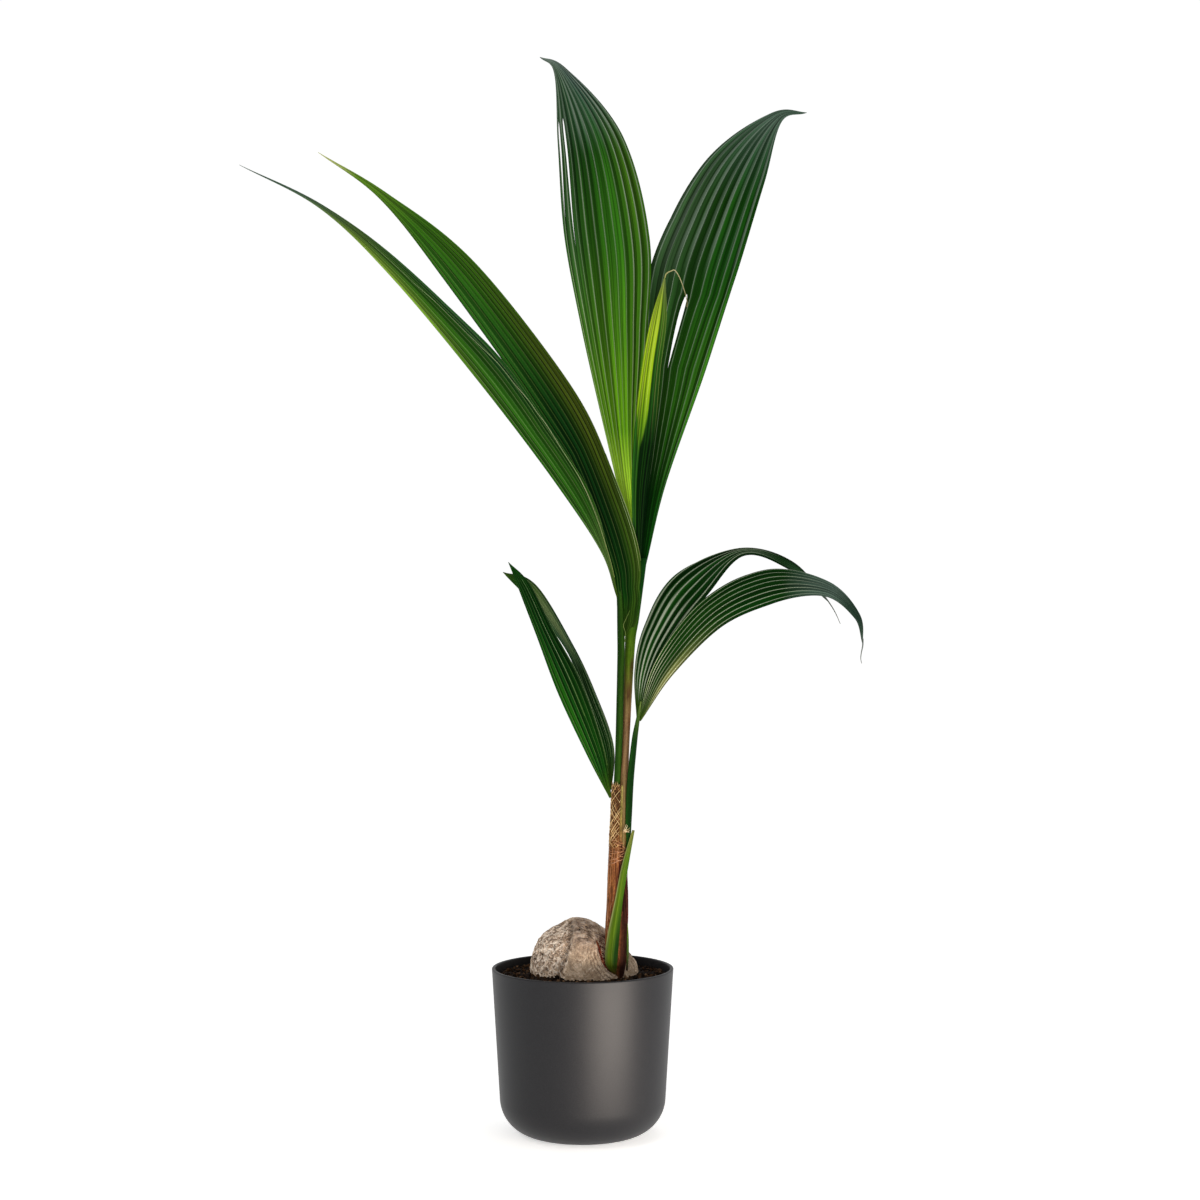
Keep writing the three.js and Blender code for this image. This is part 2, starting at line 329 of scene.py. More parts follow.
def grained(name, low, high, size, roughness, shine, relief):
    """Mottled between two colours, with a fine relief."""
    made, tree = material(name)
    mottle = noise_value(tree, object_places(tree), size * MM, MOTTLE_DETAIL)
    colours = tree.nodes.new("ShaderNodeValToRGB")
    for element, position, code in zip(colours.color_ramp.elements, MOTTLE_RANGE, (low, high)):
        element.position = position
        element.color = (*linear(code), 1)
    tree.links.new(mottle, colours.inputs["Fac"])
    set_surface(tree, colours.outputs["Color"], mottle, roughness, MOTTLE_GLOSS, shine, relief, MOTTLE_BUMP)
    return made


# Stretch of the grain, depth of the streaks, roughness, shine, relief and speckle
LEAF = streaked("leaf", (9.0, 0.004, 1.0), 0.3, 0.5, 0.02, 0.2)
RIB = streaked("leaf_rib", (1.0, 0.02, 1.0), 0.12, 0.5, 0.06, 0.1)
YOUNG_LEAF = streaked("young_leaf", (7.0, 0.006, 1.0), 0.2, 0.5, 0.03, 0.2)
STALK = streaked("leaf_stalk", (26.0, 0.02, 1.0), 0.35, 0.45, 0.04, 0.3, 0.1)
SHEATH = streaked("sheath", (42.0, 0.06, 1.0), 0.45, 0.8, 0.06, 0.9, 0.3)
FIBRE = streaked("fibre", (1.0, 0.2, 1.0), 0.3, 0.8, 0.1, 0.1)
HUSK = streaked("husk", (110.0, 0.2, 1.0), 0.36, 0.85, 0.06, 0.9, 0.14)

# Dark and light colour, size of the mottle, roughness, shine and relief
SOIL = grained("soil", "#0b0705", "#2a1c12", 3.0, 0.92, 0.08, 1.2)
CRUMBS = [
    grained("soil_crumb_dark", "#0c0805", "#1f140d", 2.0, 0.92, 0.08, 0.6),
    grained("soil_crumb_brown", "#2a1b10", "#4c3420", 2.0, 0.9, 0.08, 0.6),
    grained("soil_crumb_light", "#4a3524", "#7a6048", 2.0, 0.9, 0.08, 0.6),
]
POT = grained("pot_plastic", "#08080c", "#161619", 1.3, 0.48, 0.3, 0.08)


# Pot and soil

POT_HEIGHT = 197
POT_RIM_RADIUS = 108
POT_FOOT_RADIUS = 96
POT_CORNER = 44
POT_WALL = 4
POT_RIM_EASE = 1.2
POT_SIDES = 192
POT_ARC_STEPS = 24
WALL_STEPS = 12
RIM_STEPS = 4
GAP = 0.3
SOIL_LEVEL = 187
SOIL_RISE = 3
SOIL_FOOT = 60  # of its straight wall
SOIL_WALL_STEPS = 6
SOIL_MIDDLE = 2
SOIL_RINGS = 46
SOIL_SIDES = 150
SOIL_LUMPS = ((1.5, 16, 1), (1.0, 4.5, 2))  # height, size and seed
LUMP_OCTAVES = 3
LUMPS_FADE = (1.0, 0.93)  # of the radius
POT_TINT, SOIL_TINT, CRUMB_TINT = linear("#404042"), linear("#2a1c12"), linear("#3a2a1c")
pot_slope = math.atan2(POT_RIM_RADIUS - POT_FOOT_RADIUS, POT_HEIGHT)
corner_radius = POT_FOOT_RADIUS + POT_CORNER * math.tan(pot_slope) - POT_CORNER / math.cos(pot_slope)


def wall_radius(height, inset):
    return POT_FOOT_RADIUS + height * math.tan(pot_slope) - inset / math.cos(pot_slope)


def corner_points(inset):
    angle = np.linspace(-math.pi / 2, -pot_slope, POT_ARC_STEPS)
    radius = POT_CORNER - inset
    return [(corner_radius + radius * math.cos(a), POT_CORNER + radius * math.sin(a)) for a in angle]


def rim_points():
    """Rounded lip of the pot, from its outside to its inside."""
    points = []
    for inset, first in ((POT_RIM_EASE, 0), (POT_WALL - POT_RIM_EASE, math.pi / 2)):
        for angle in np.linspace(first, first + math.pi / 2, RIM_STEPS):
            radius = wall_radius(POT_HEIGHT, inset) + POT_RIM_EASE * math.cos(angle)
            points.append((radius, POT_HEIGHT - POT_RIM_EASE + POT_RIM_EASE * math.sin(angle)))
    return points


def turned(profile, sides):
    """Rings of points round the pot's axis."""
    profile = np.array(profile)
    angle = np.arange(sides) * TURN / sides
    return np.stack(np.broadcast_arrays(
        profile[:, :1] * np.cos(angle), profile[:, :1] * np.sin(angle), profile[:, 1:]), -1)


def make_pot():
    foot = POT_CORNER * (1 - math.sin(pot_slope))
    wall = np.linspace(foot, POT_HEIGHT - 2 * POT_RIM_EASE, WALL_STEPS)[1:]
    profile = corner_points(0) + [(wall_radius(z, 0), z) for z in wall] + rim_points()
    profile += [(wall_radius(z, POT_WALL), z) for z in wall[::-1]] + corner_points(POT_WALL)[::-1]
    place_skin("pot_body", turned(profile, POT_SIDES), POT_TINT, NO_GRAIN, POT, "pot", "pot")


def soil_height(x, y):
    radius = np.hypot(x, y) / wall_radius(SOIL_LEVEL, POT_WALL)
    points = np.column_stack([x, y, np.zeros_like(x)])
    lumps = sum(height * fractal(points, size, LUMP_OCTAVES, seed) for height, size, seed in SOIL_LUMPS)
    return SOIL_LEVEL + SOIL_RISE * (1 - radius ** 2) + lumps * smoothstep(*LUMPS_FADE, radius)


def make_soil():
    inset = POT_WALL + GAP
    heights = np.linspace(SOIL_FOOT, SOIL_LEVEL, SOIL_WALL_STEPS)
    radii = np.linspace(wall_radius(SOIL_LEVEL, inset), SOIL_MIDDLE, SOIL_RINGS)[1:]
    profile = corner_points(inset) + [(wall_radius(z, inset), z) for z in heights]
    profile += [(radius, SOIL_LEVEL) for radius in radii]
    points = turned(profile, SOIL_SIDES)
    surface = points[-len(radii):].reshape(-1, 3)
    surface[:, 2] = soil_height(surface[:, 0], surface[:, 1])
    place_skin("potting_soil", points, SOIL_TINT, NO_GRAIN, SOIL, "soil", "soil")


CRUMB_COUNT = 900
CRUMB_ROWS = 5
CRUMB_SIDES = 7
CRUMB_SHARES = (0.42, 0.4, 0.18)  # of the three browns
CRUMB_LEAST, CRUMB_SPREAD, CRUMB_POWER = 0.6, 2.2, 2.6
CRUMB_WOBBLE = 0.28
CRUMB_STRETCH = (0.6, 1.25)
CRUMB_RISE = 0.25  # of its size
CRUMB_EDGE = 3.5  # clear of the pot's wall
NUT_CLEAR = 0.97  # of the nut's radii
POLE_GAP = 0.02


def ball_points(rows, around):
    """Rings of a unit ball with its poles along Y, with points at the given angles."""
    polar = np.linspace(POLE_GAP, math.pi - POLE_GAP, rows)[:, None]
    return np.stack(np.broadcast_arrays(
        np.sin(polar) * np.cos(around), np.cos(polar), -np.sin(polar) * np.sin(around)), -1)


def make_crumbs():
    """Loose crumbs on the soil, dealt out to three browns."""
    lump = ball_points(CRUMB_ROWS, np.arange(CRUMB_SIDES) * TURN / CRUMB_SIDES).reshape(-1, 3)
    faces, places = capped(CRUMB_ROWS, CRUMB_SIDES)
    shapes = [Shape() for _ in CRUMBS]
    reach = wall_radius(SOIL_LEVEL, POT_WALL) - CRUMB_EDGE
    while sum(len(shape.points) for shape in shapes) < CRUMB_COUNT:
        spot = rng.uniform(-reach, reach, 2)
        size = CRUMB_LEAST + CRUMB_SPREAD * rng.random() ** CRUMB_POWER
        kind = rng.choice(len(CRUMBS), p=CRUMB_SHARES)
        wobble = 1 + CRUMB_WOBBLE * rng.standard_normal(len(lump))
        scale = size * rng.uniform(*CRUMB_STRETCH, 3)
        off = (np.append(spot, SOIL_LEVEL) - NUT_CENTRE) / NUT_RADII
        if np.hypot(*spot) + size > reach or np.linalg.norm(off) < NUT_CLEAR:
            continue
        height = soil_height(spot[:1], spot[1:])[0] + CRUMB_RISE * size
        points = lump * wobble[:, None] * scale + [*spot, height]
        shapes[kind].add(points, faces, places, CRUMB_TINT, NO_GRAIN)
    for shape, look in zip(shapes, CRUMBS):
        place(look.name + "s", shape, look, "soil")


# Nut

NUT_CENTRE = np.array([3, 20, 190])
NUT_RADII = np.array([65, 72, 65])
NUT_PROFILE = [(0, 64.4), (16, 58.5), (24, 55), (46, 50.5), (68, 54), (85, 60), (103, 64.6), (121, 63.2),
               (142, 67), (164, 66.3), (184, 66.4), (230, 65), (300, 65), (360, 64.4)]  # angle, radius
NUT_EASE, NUT_EASE_REACH = 2.5, 10  # of the ridges, in degrees
NUT_ROWS = 230
NUT_LOWER_STEPS, NUT_UPPER_STEPS = 40, 320
NUT_TURNS = np.concatenate([
    np.linspace(0, math.pi, NUT_LOWER_STEPS, endpoint=False),
    np.linspace(math.pi, TURN, NUT_UPPER_STEPS, endpoint=False)])
FRONT_LEAST = 0.02  # square of the least depth on the unit ball

# Lines and spots on the front of the husk, in x and z
GROOVE = np.array([[-17, 262], [-14, 247], [-17, 229], [-22, 213], [-28, 197], [-27, 180]])
PITS = np.array([[-47, 215], [8, 240], [-20, 212], [-34, 226], [-4, 246], [-41, 200], [16, 232]])
CREVICE = np.array([[15, 240], [20, 229], [21, 220], [24.5, 210], [30, 202], [37, 196]])

# Size, octaves and seed of the patterns, and how they are stretched
SWELLS, LUMPS, STREAKS = (30, 3, 3), (9, 4, 4), (3.2, 3, 10)
STROKES, CROSS_STROKES, STRANDS = (2.5, 2, 5), (2.5, 2, 9), (2.4, 3, 11)
LUMP_STRETCH, STRAND_STRETCH = np.array([1, 0.6, 1]), np.array([1, 0.1, 1])
SLANT, STROKE_STRETCH, STROKE_DEPTH, STREAK_STRETCH = 0.7, 0.2, 0.6, 0.25

# Where the parts of the husk begin and end
FACING = (0.1, -0.25)  # y on the unit ball, from the back to the front
WORN, WORN_SHARE = (-3, 9), 0.75  # to the right of the groove
GROOVE_HALF, GROOVE_WANDER, GROOVE_SHADE, GROOVE_MOST = 3.2, 0.6, 0.6, 0.75
PIT_SPREAD, PIT_MOST = 3, 0.9
UPPER, UPPER_TILT, UPPER_SHADE, UPPER_STREAKS = (212, 236), 0.15, 0.75, 0.5
CROWN_X, CROWN_Y, CROWN_Z = (-0.3, 0.0), (-0.88, -0.6, 0.1, 0.5), (0.2, 0.45)  # on the unit ball
TORN, TORN_TOP, TORN_RAGGED, TORN_SHADE, TORN_STROKES = (-1.2, 0.8, 10, 14), (242, 234), 1.2, 0.85, 0.3
LIP, LIP_WIDTH = -2.5, 1.2  # beside the crevice
LINED, LINED_TOP = (-17, -11, -3, -1.5), (230, 220)  # beside the crevice
LINE_PACE, LINE_WANDER, LINE_EDGE = 1.65, 1.5, (0.0, 0.8)

HUSK_BASE = "#c6ab91"
HUSK_COATS = [
    ("#d8bfa7", 1.0, "whole", "broad", -0.4, 0.6),
    ("#9c8870", 0.9, "worn", "whole", 0, 1),
    ("#7b6655", 0.38, "rough", "coarse", 0.1, -0.5),
    ("#efe0d0", 0.8, "rough", "fine", 0.12, 0.42),
    ("#5a4638", 0.7, "rough", "fine", -0.14, -0.46),
    ("#7f6a58", 0.4, "worn", "fine", -0.1, -0.45),
    ("#cbb49c", 0.35, "worn", "fine", 0.1, 0.45),
    ("#7d695c", 1.0, "upper", "whole", 0, 1),
    ("#8a776a", 0.8, "crown", "whole", 0, 1),
    ("#3d322c", 0.85, "crown", "streaks", 0.0, 0.32),
    ("#d8cabc", 0.6, "crown", "streaks", -0.12, -0.4),
    ("#39312c", 1.0, "groove_shade", "whole", 0, 1),
    ("#241d1a", 1.0, "pit_shade", "whole", 0, 1),
    ("#d9c6b0", 0.5, "lip", "whole", 0, 1),
    ("#4e3a30", 0.7, "lined", "whole", 0, 1),
    ("#3c130d", 1.0, "torn", "whole", 0, 1),
]  # colour, strength, where, and the pattern with its values for none and for all of it
HUSK_RELIEF = [
    (1.0, "whole", "broad"), (0.9, "rough", "coarse"), (0.3, "rough", "fine"), (0.4, "worn", "coarse"),
    (0.05, "worn", "fine"), (-2.2, "whole", "groove"), (-1.4, "whole", "pits"), (-0.3, "whole", "lined"),
]  # height, where, and the pattern


def nut_hull(ball):
    """Smooth skin of the nut over points of a unit ball, with three blunt ridges that fade at its ends."""
    degrees = np.arange(-180, 541)
    kernel = np.exp(-(np.arange(-NUT_EASE_REACH, NUT_EASE_REACH + 1) / NUT_EASE) ** 2 / 2)
    eased = np.convolve(level(NUT_PROFILE, degrees % 360), kernel / kernel.sum(), "same")
    around = np.degrees(np.arctan2(ball[:, 2], ball[:, 0])) % 360
    round_off = NUT_RADII[0] + (np.interp(around, degrees, eased) - NUT_RADII[0]) * (1 - ball[:, 1] ** 2)
    return NUT_CENTRE + ball * np.column_stack([round_off, np.full(len(ball), NUT_RADII[1]), round_off])


def level_path(line, places):
    """Points of a line at whole and part numbers of its stations."""
    stations = np.arange(len(line))
    return np.column_stack([np.interp(places, stations, side) for side in line.T])


def line_distance(line, x, z):
    """Signed distance from a line down the nut, positive to its right, as seen from the front."""
    best = np.full(len(x), np.inf)
    sign = np.ones(len(x))
    for (x0, z0), (x1, z1) in zip(line[:-1], line[1:]):
        edge = np.array([x1 - x0, z1 - z0])
        share = np.clip(((x - x0) * edge[0] + (z - z0) * edge[1]) / (edge @ edge), 0, 1)
        gap = np.hypot(x - x0 - share * edge[0], z - z0 - share * edge[1])
        side = np.sign((z - z0) * edge[0] - (x - x0) * edge[1])
        sign = np.where(gap < best, side, sign)
        best = np.minimum(best, gap)
    return best * sign


def husk_patterns(ball, hull):
    """Patterns and parts of the husk by name, at points of a unit ball and of the nut's smooth skin."""
    x, y, z = hull.T
    across, deep, up = ball.T
    facing = smoothstep(*FACING, deep)
    groove_off, crevice_off = line_distance(GROOVE, x, z), line_distance(CREVICE, x, z)
    worn = WORN_SHARE * smoothstep(*WORN, groove_off) * facing
    coarse = fractal(hull * LUMP_STRETCH, *LUMPS)
    rising, falling, depth = (x + z) * SLANT, (x - z) * SLANT, y * STROKE_DEPTH
    strokes = fractal(np.column_stack([rising * STROKE_STRETCH, depth, falling]), *STROKES)
    crossing = fractal(np.column_stack([rising, depth, falling * STROKE_STRETCH]), *CROSS_STROKES)
    strokes = np.where(np.abs(crossing) > np.abs(strokes), crossing, strokes)
    fine = strokes * facing + fractal(hull * STRAND_STRETCH, *STRANDS) * (1 - facing)
    ring = np.hypot(across, up) * NUT_RADII[0]
    turn = np.arctan2(up, across) * NUT_RADII[0]
    streaks = fractal(np.column_stack([turn * STREAK_STRETCH, ring, np.zeros_like(ring)]), *STREAKS)
    groove = bell(groove_off, GROOVE_HALF * (1 + GROOVE_WANDER * coarse)) * facing
    pits = sum(np.exp(-((x - spot[0]) ** 2 + (z - spot[1]) ** 2) / PIT_SPREAD) for spot in PITS) * facing
    crown = smoothstep(*CROWN_X, across) * plateau(deep, *CROWN_Y) * smoothstep(*CROWN_Z, up)
    beyond = crevice_off + TORN_RAGGED * fine
    torn = plateau(beyond, *TORN) * smoothstep(*TORN_TOP, z) * facing
    lines = smoothstep(*LINE_EDGE, np.sin(LINE_PACE * crevice_off + LINE_WANDER * coarse))
    return dict(
        whole=np.ones(len(ball)), broad=fractal(hull, *SWELLS), coarse=coarse, fine=fine, streaks=streaks,
        rough=1 - worn, worn=worn, groove=groove, pits=pits, crown=crown,
        upper=smoothstep(*UPPER, z + UPPER_TILT * x) * worn * (UPPER_SHADE + UPPER_STREAKS * streaks),
        groove_shade=np.clip(groove * (GROOVE_SHADE + fine), 0, GROOVE_MOST),
        pit_shade=np.clip(pits, 0, PIT_MOST),
        lip=bell(beyond - LIP, LIP_WIDTH) * facing,
        lined=plateau(crevice_off, *LINED) * smoothstep(*LINED_TOP, z) * facing * lines,
        torn=torn * (TORN_SHADE + TORN_STROKES * fine))


def nut_skin(ball):
    """Weathered husk over points of a unit ball: places and colours."""
    hull = nut_hull(ball)
    found = husk_patterns(ball, hull)
    colour = np.tile(linear(HUSK_BASE), (len(ball), 1))
    for code, strength, where, pattern, none, full in HUSK_COATS:
        colour = over(colour, code, strength * found[where] * smoothstep(none, full, found[pattern]))
    height = sum(rise * found[where] * found[pattern] for rise, where, pattern in HUSK_RELIEF)
    return hull + unit(ball / NUT_RADII) * height[:, None], colour


def on_nut(x, z):
    """Point of the unit ball on the front of the nut, seen at x and z."""
    across, rise = (x - NUT_CENTRE[0]) / NUT_RADII[0], (z - NUT_CENTRE[2]) / NUT_RADII[2]
    return np.column_stack([across, -np.sqrt(np.clip(1 - across ** 2 - rise ** 2, FRONT_LEAST, 1)), rise])


def make_nut():
    ball = ball_points(NUT_ROWS, NUT_TURNS).reshape(-1, 3)
    points, colour = nut_skin(ball)
    around = np.arctan2(ball[:, 2], ball[:, 0]) / TURN
    grain = np.column_stack([around, ball[:, 1] * NUT_RADII[1], np.zeros(len(ball))])
    rings = points.reshape(NUT_ROWS, -1, 3)
    place_skin("coconut_husk", rings, np.clip(colour, 0, 1), grain, HUSK, "husk", "coconut")


HUSK_FIBRES = 2600
HUSK_FIBRE_STEPS = 5
FIBRE_SIDES = 4
ROUGH_HUSK = ["#efe2d2", "#dccab6", "#c4ad96", "#8d7560", "#65503f", "#463830"]
SMOOTH_HUSK = ["#cdb69d", "#bca389", "#a68d74", "#8d7560"]
SPROUT = np.array([36, 205])  # where the stem leaves the nut, in x and z
SMOOTH_FROM = 4  # to the right of the groove
BACK_FROM = -0.1  # y on the unit ball
CROSS_LEANS, CROSS_SPREAD, BACK_SPREAD = (-0.8, 0.8), 0.25, 0.2
SPROUT_PULL, SPROUT_SWAY = (0.3, 1), (-0.5, 0.9)
HUSK_FIBRE_LENGTH, BACK_LONGER, SMOOTH_LONGER = (0.05, 0.15), 1.5, 0.5  # on the unit ball
HUSK_FIBRE_BOW, HUSK_FIBRE_LIFT, HUSK_FIBRE_CURL = 0.15, (-0.05, 0.2), 0.25
HUSK_FIBRE_LEAST, SMOOTH_MOST, ROUGH_MOST, HUSK_FIBRE_TAPER = 0.16, 0.26, 0.44, 0.7  # of the radius


def make_husk_fibres():
    """Loose fibres that lie along the husk, on its smooth front drawn towards the sprout."""
    shape = Shape()
    sprout = on_nut(SPROUT[:1], SPROUT[1:])[0]
    steps = np.linspace(0, 1, HUSK_FIBRE_STEPS)
    taper = 1 - HUSK_FIBRE_TAPER * (2 * steps - 1) ** 2
    for _ in range(HUSK_FIBRES):
        start = unit(rng.standard_normal(3))
        start[2] = abs(start[2])
        back = start[1] > BACK_FROM
        right_by = line_distance(GROOVE, *nut_hull(start[None])[:, [0, 2]].T)[0]
        smooth = start[1] < 0 and right_by > SMOOTH_FROM
        ring = unit(np.cross(start, [0, 1, 0]))
        lean = rng.choice(CROSS_LEANS) + CROSS_SPREAD * rng.standard_normal()
        if back:
            lean = math.pi / 2 + BACK_SPREAD * rng.standard_normal()
        aim = ring * math.cos(lean) + np.cross(ring, start) * math.sin(lean)
        if smooth:
            aside = unit(np.cross(start, sprout))
            aim = unit(sprout - start) * rng.uniform(*SPROUT_PULL) + aside * rng.uniform(*SPROUT_SWAY)
        length = rng.uniform(*HUSK_FIBRE_LENGTH) * (1 + BACK_LONGER * back + SMOOTH_LONGER * smooth)
        bow = HUSK_FIBRE_BOW * rng.standard_normal(3)
        ball = unit(start + aim * length * steps[:, None] + bow * (steps * (1 - steps))[:, None])
        points, _ = nut_skin(ball)
        lift = rng.uniform(*HUSK_FIBRE_LIFT) + HUSK_FIBRE_CURL * steps ** 3 * rng.random()
        points += unit(ball / NUT_RADII) * lift[:, None]
        radius = rng.uniform(HUSK_FIBRE_LEAST, SMOOTH_MOST if smooth else ROUGH_MOST)
        code = rng.choice(SMOOTH_HUSK if smooth else ROUGH_HUSK)
        add_tube(shape, points, radius * taper, linear(code), FIBRE_SIDES)
    place("husk_fibres", shape, FIBRE, "husk")


# Stem and petioles

STEM = [
    [40.5, -29, 183, 6, 6],
    [39, -31.5, 206, 11.5, 11],
    [39.5, -29, 232, 12.8, 12],
    [41, -25, 280, 12, 11],
    [42, -18, 350, 10, 9],
    [44.6, -12, 415, 9.4, 8],
]
STEM_TOP = STEM[-1][2]
STEM_ROWS = 180
STEM_SIDES = 72
MOUTH_LIP = ((0.8, 0.5), (1.8, -1.5), (2.6, -8))  # drawn in by, raised by
RINGS_FOOT, NET_FOOT = 318, 350
RINGED = (312, 324, 346, 354)  # heights
SMOOTH_SIDE = (math.radians(-82), math.radians(-14))  # where the upright petiole shows through the sheath
SMOOTH_EDGES = (SMOOTH_SIDE[0] - 0.12, SMOOTH_SIDE[0] + 0.12, SMOOTH_SIDE[1] - 0.2, SMOOTH_SIDE[1] + 0.2)
SMOOTH_FOOT = (342, 360)  # heights

# Radius and squeeze along the stem, size, octaves and seed of its patterns
SHEATH_LINES, SHEATH_PATCHES = (11, 0.06, 1.6, 3, 6), (11, 0.24, 9, 3, 7)
FOLD_PACE, FOLD_WANDER, FOLD_TILT = 1.35, 1.2, 0.8
LINE_RELIEF, PATCH_RELIEF, FOLD_RELIEF, BARE_RELIEF = 0.55, 0.5, 0.45, 0.15
SHEATH_COLOURS = [(190, "#5c3219"), (235, "#764422"), (300, "#80502c"), (325, "#82512f"), (345, "#6b4326"),
                  (385, "#3d2715"), (415, "#3d2715")]
BARE_COLOURS = [(345, "#84603a"), (380, "#7d7038"), (415, "#857a42")]
# Painted shade on the right side of the sheath, fading out upwards to the foot of the net
SHADED_SIDE, SHADE_TOP, SHADE_CODE, SHADE_SHARE = (-1.5, -1.0, 0.9, 1.9), (NET_FOOT, 310), "#1e0b09", 0.94

# Colour and strength of the streaks, the values of the lines for none and for all of it, and how far they
# fade in the painted shade on the right side
SHEATH_STREAKS = [("#3d2415", 0.6, -0.15, -0.7, 0.0), ("#a87e57", 0.5, 0.25, 0.8, 0.8)]
LIP_CODE = "#3a2a18"


def stem_share(height):
    shares = np.linspace(0, 1, STEM_ROWS)
    return np.interp(height, through(STEM, shares)[:, 2], shares)


def make_stem():
    angle, share = limb_grid(STEM_ROWS, STEM_SIDES)
    height = through(STEM, share)[:, 2]
    lines = limb_lines(angle, height, *SHEATH_LINES)
    patches = limb_lines(angle, height, *SHEATH_PATCHES)
    smooth = plateau(angle, *SMOOTH_EDGES) * smoothstep(*SMOOTH_FOOT, height)
    folds = np.sin(height * FOLD_PACE + FOLD_WANDER * patches + FOLD_TILT * np.sin(angle * 2))
    relief = (LINE_RELIEF * lines + PATCH_RELIEF * patches) * (1 - (1 - BARE_RELIEF) * smooth)
    relief = relief + FOLD_RELIEF * folds * plateau(height, *RINGED)
    points = limb_points(STEM, share, angle, relief)
    # painted shade on the right side
    painted_shade = plateau(angle, *SHADED_SIDE)
    colour = ramp(SHEATH_COLOURS, height)
    colour = over(colour, SHADE_CODE, SHADE_SHARE * painted_shade * smoothstep(*SHADE_TOP, height))
    for code, strength, none, full, fading in SHEATH_STREAKS:
        streak = strength * smoothstep(none, full, lines) * (1 - smooth) * (1 - fading * painted_shade)
        colour = over(colour, code, streak)
    colour = mixed(colour, ramp(BARE_COLOURS, height), smooth)
    grain = np.column_stack([angle / TURN, height, np.zeros(len(height))])
    rings = [points.reshape(STEM_ROWS, STEM_SIDES, 3)]
    centre = through(STEM, np.ones(1))[0, :3]
    for inset, rise in MOUTH_LIP:
        ring = rings[0][-1] - centre
        ring = ring * (1 - inset / np.linalg.norm(ring[:, :2], axis=1))[:, None] + centre + [0, 0, rise]
        rings.append(ring[None])
    lip = len(MOUTH_LIP) * STEM_SIDES
    colour = np.vstack([colour, np.tile(linear(LIP_CODE), (lip, 1))])
    grain = np.vstack([grain, np.tile(grain[-1], (lip, 1))])
    place_skin("stem_sheath", np.concatenate(rings), colour, grain, SHEATH, "stem_fibre", "stem")


STRAWS = ["#b8935f", "#9c7144", "#c7a877", "#7d5530"]
BROWNS = ["#7a4a2d", "#5c3521", "#94643f", "#a5795a"]
WOUND_BROWNS = ["#94643f", "#a5795a", "#a87858"]
# Dark maroons for the long fibres in the painted shade on the right side of the sheath
SHADED_MAROONS = ["#3a1610", "#2c100c", "#4c2216"]
STEM_FIBRE_STEPS = 24
STEM_FIBRE_SIDES = 5
STEM_FIBRE_ENDS = 0.25
NET_THREADS = 19
NET_TURN = 5.4
NET_BELOW, NET_ABOVE = 8, 1.5  # beyond its foot and the top of the stem
NET_RUNS, NET_RUN_STEPS, NET_TORN, NET_SHORTEST = 10, 9, 0.22, 4
NET_JITTER, NET_SWAY, NET_SWAY_PACE = 0.5, 0.12, 9
NET_LIFT, NET_WEAVE, NET_WEAVE_PACE = 0.5, 0.3, 60
NET_RADII, LOOSE_RADII = (0.26, 0.55), (0.25, 0.55)
FRINGE, FRINGE_STEPS, FRINGE_REACH, FRINGE_SUNK = 46, 8, (2, 7), 1.5
FRINGE_LIFT, FRINGE_CURL, FRINGE_SWAY, FRINGE_RADIUS, FRINGE_TAPER = 0.3, 1.3, 0.15, 0.3, 0.7
RING_FIBRES, RING_SPAN, RING_LIFT, RING_SWAY, RING_SWAY_PACE = 44, (0.7, 2.2), 0.5, 1.6, (2, 6)
LONG_FIBRES, LONG_FOOT, LONG_LENGTH = 90, (188, 300), (20, 90)
LONG_LEAN, LONG_SWAY, LONG_SWAY_PACE, LONG_LIFT, LONG_LIFT_SPREAD = 0.35, 0.05, 9, 0.25, 0.4
SHADED_TURN, SHADED_FROM = 0.4, 0.3


def add_stem_fibre(shape, angles, heights, lift, radius, code):
    points = limb_points(STEM, stem_share(heights), angles, lift)
    taper = np.sqrt(np.sin(np.linspace(STEM_FIBRE_ENDS, math.pi - STEM_FIBRE_ENDS, len(points))))
    add_tube(shape, points, radius * taper, linear(code), STEM_FIBRE_SIDES)


def make_net():
    """Woven net at the mouth of the sheath, torn here and there, with a fringe of loose ends."""
    shape = Shape()
    bare_from, bare_to = SMOOTH_SIDE
    covered = TURN - bare_to + bare_from
    climb = np.linspace(0, 1, NET_RUNS * NET_RUN_STEPS)
    heights = NET_FOOT - NET_BELOW + (STEM_TOP + NET_ABOVE - NET_FOOT + NET_BELOW) * climb
    for lean in (-1, 1):
        for k in range(NET_THREADS):
            start = (k + NET_JITTER * rng.random()) / NET_THREADS * TURN
            angles = start + lean * (NET_TURN * climb + NET_SWAY * np.sin(climb * NET_SWAY_PACE + k))
            lift = NET_LIFT + NET_WEAVE * np.sin(climb * NET_WEAVE_PACE + k * math.pi + lean)
            radius, code = rng.uniform(*NET_RADII), rng.choice(STRAWS)
            whole = np.repeat(rng.random(NET_RUNS) > NET_TORN, NET_RUN_STEPS)
            kept = np.flatnonzero(((angles - bare_to) % TURN < covered) & whole)
            for run in np.split(kept, np.flatnonzero(np.diff(kept) > 1) + 1):
                if len(run) > NET_SHORTEST:
                    add_stem_fibre(shape, angles[run], heights[run], lift[run], radius, code)
    part = np.linspace(0, 1, FRINGE_STEPS)
    radii = FRINGE_RADIUS * (1 - FRINGE_TAPER * part)
    for _ in range(FRINGE):
        angle = bare_to + rng.random() * covered
        reach = rng.uniform(*FRINGE_REACH)
        lift = FRINGE_LIFT + FRINGE_CURL * rng.random() * part ** 2
        angles = angle + FRINGE_SWAY * rng.standard_normal() * part
        path = limb_points(STEM, np.ones_like(part), angles, lift)
        path[:, 2] += reach * part - FRINGE_SUNK
        add_tube(shape, path, radii, linear(rng.choice(STRAWS)), FIBRE_SIDES)
    place("sheath_net", shape, FIBRE, "stem_fibre")


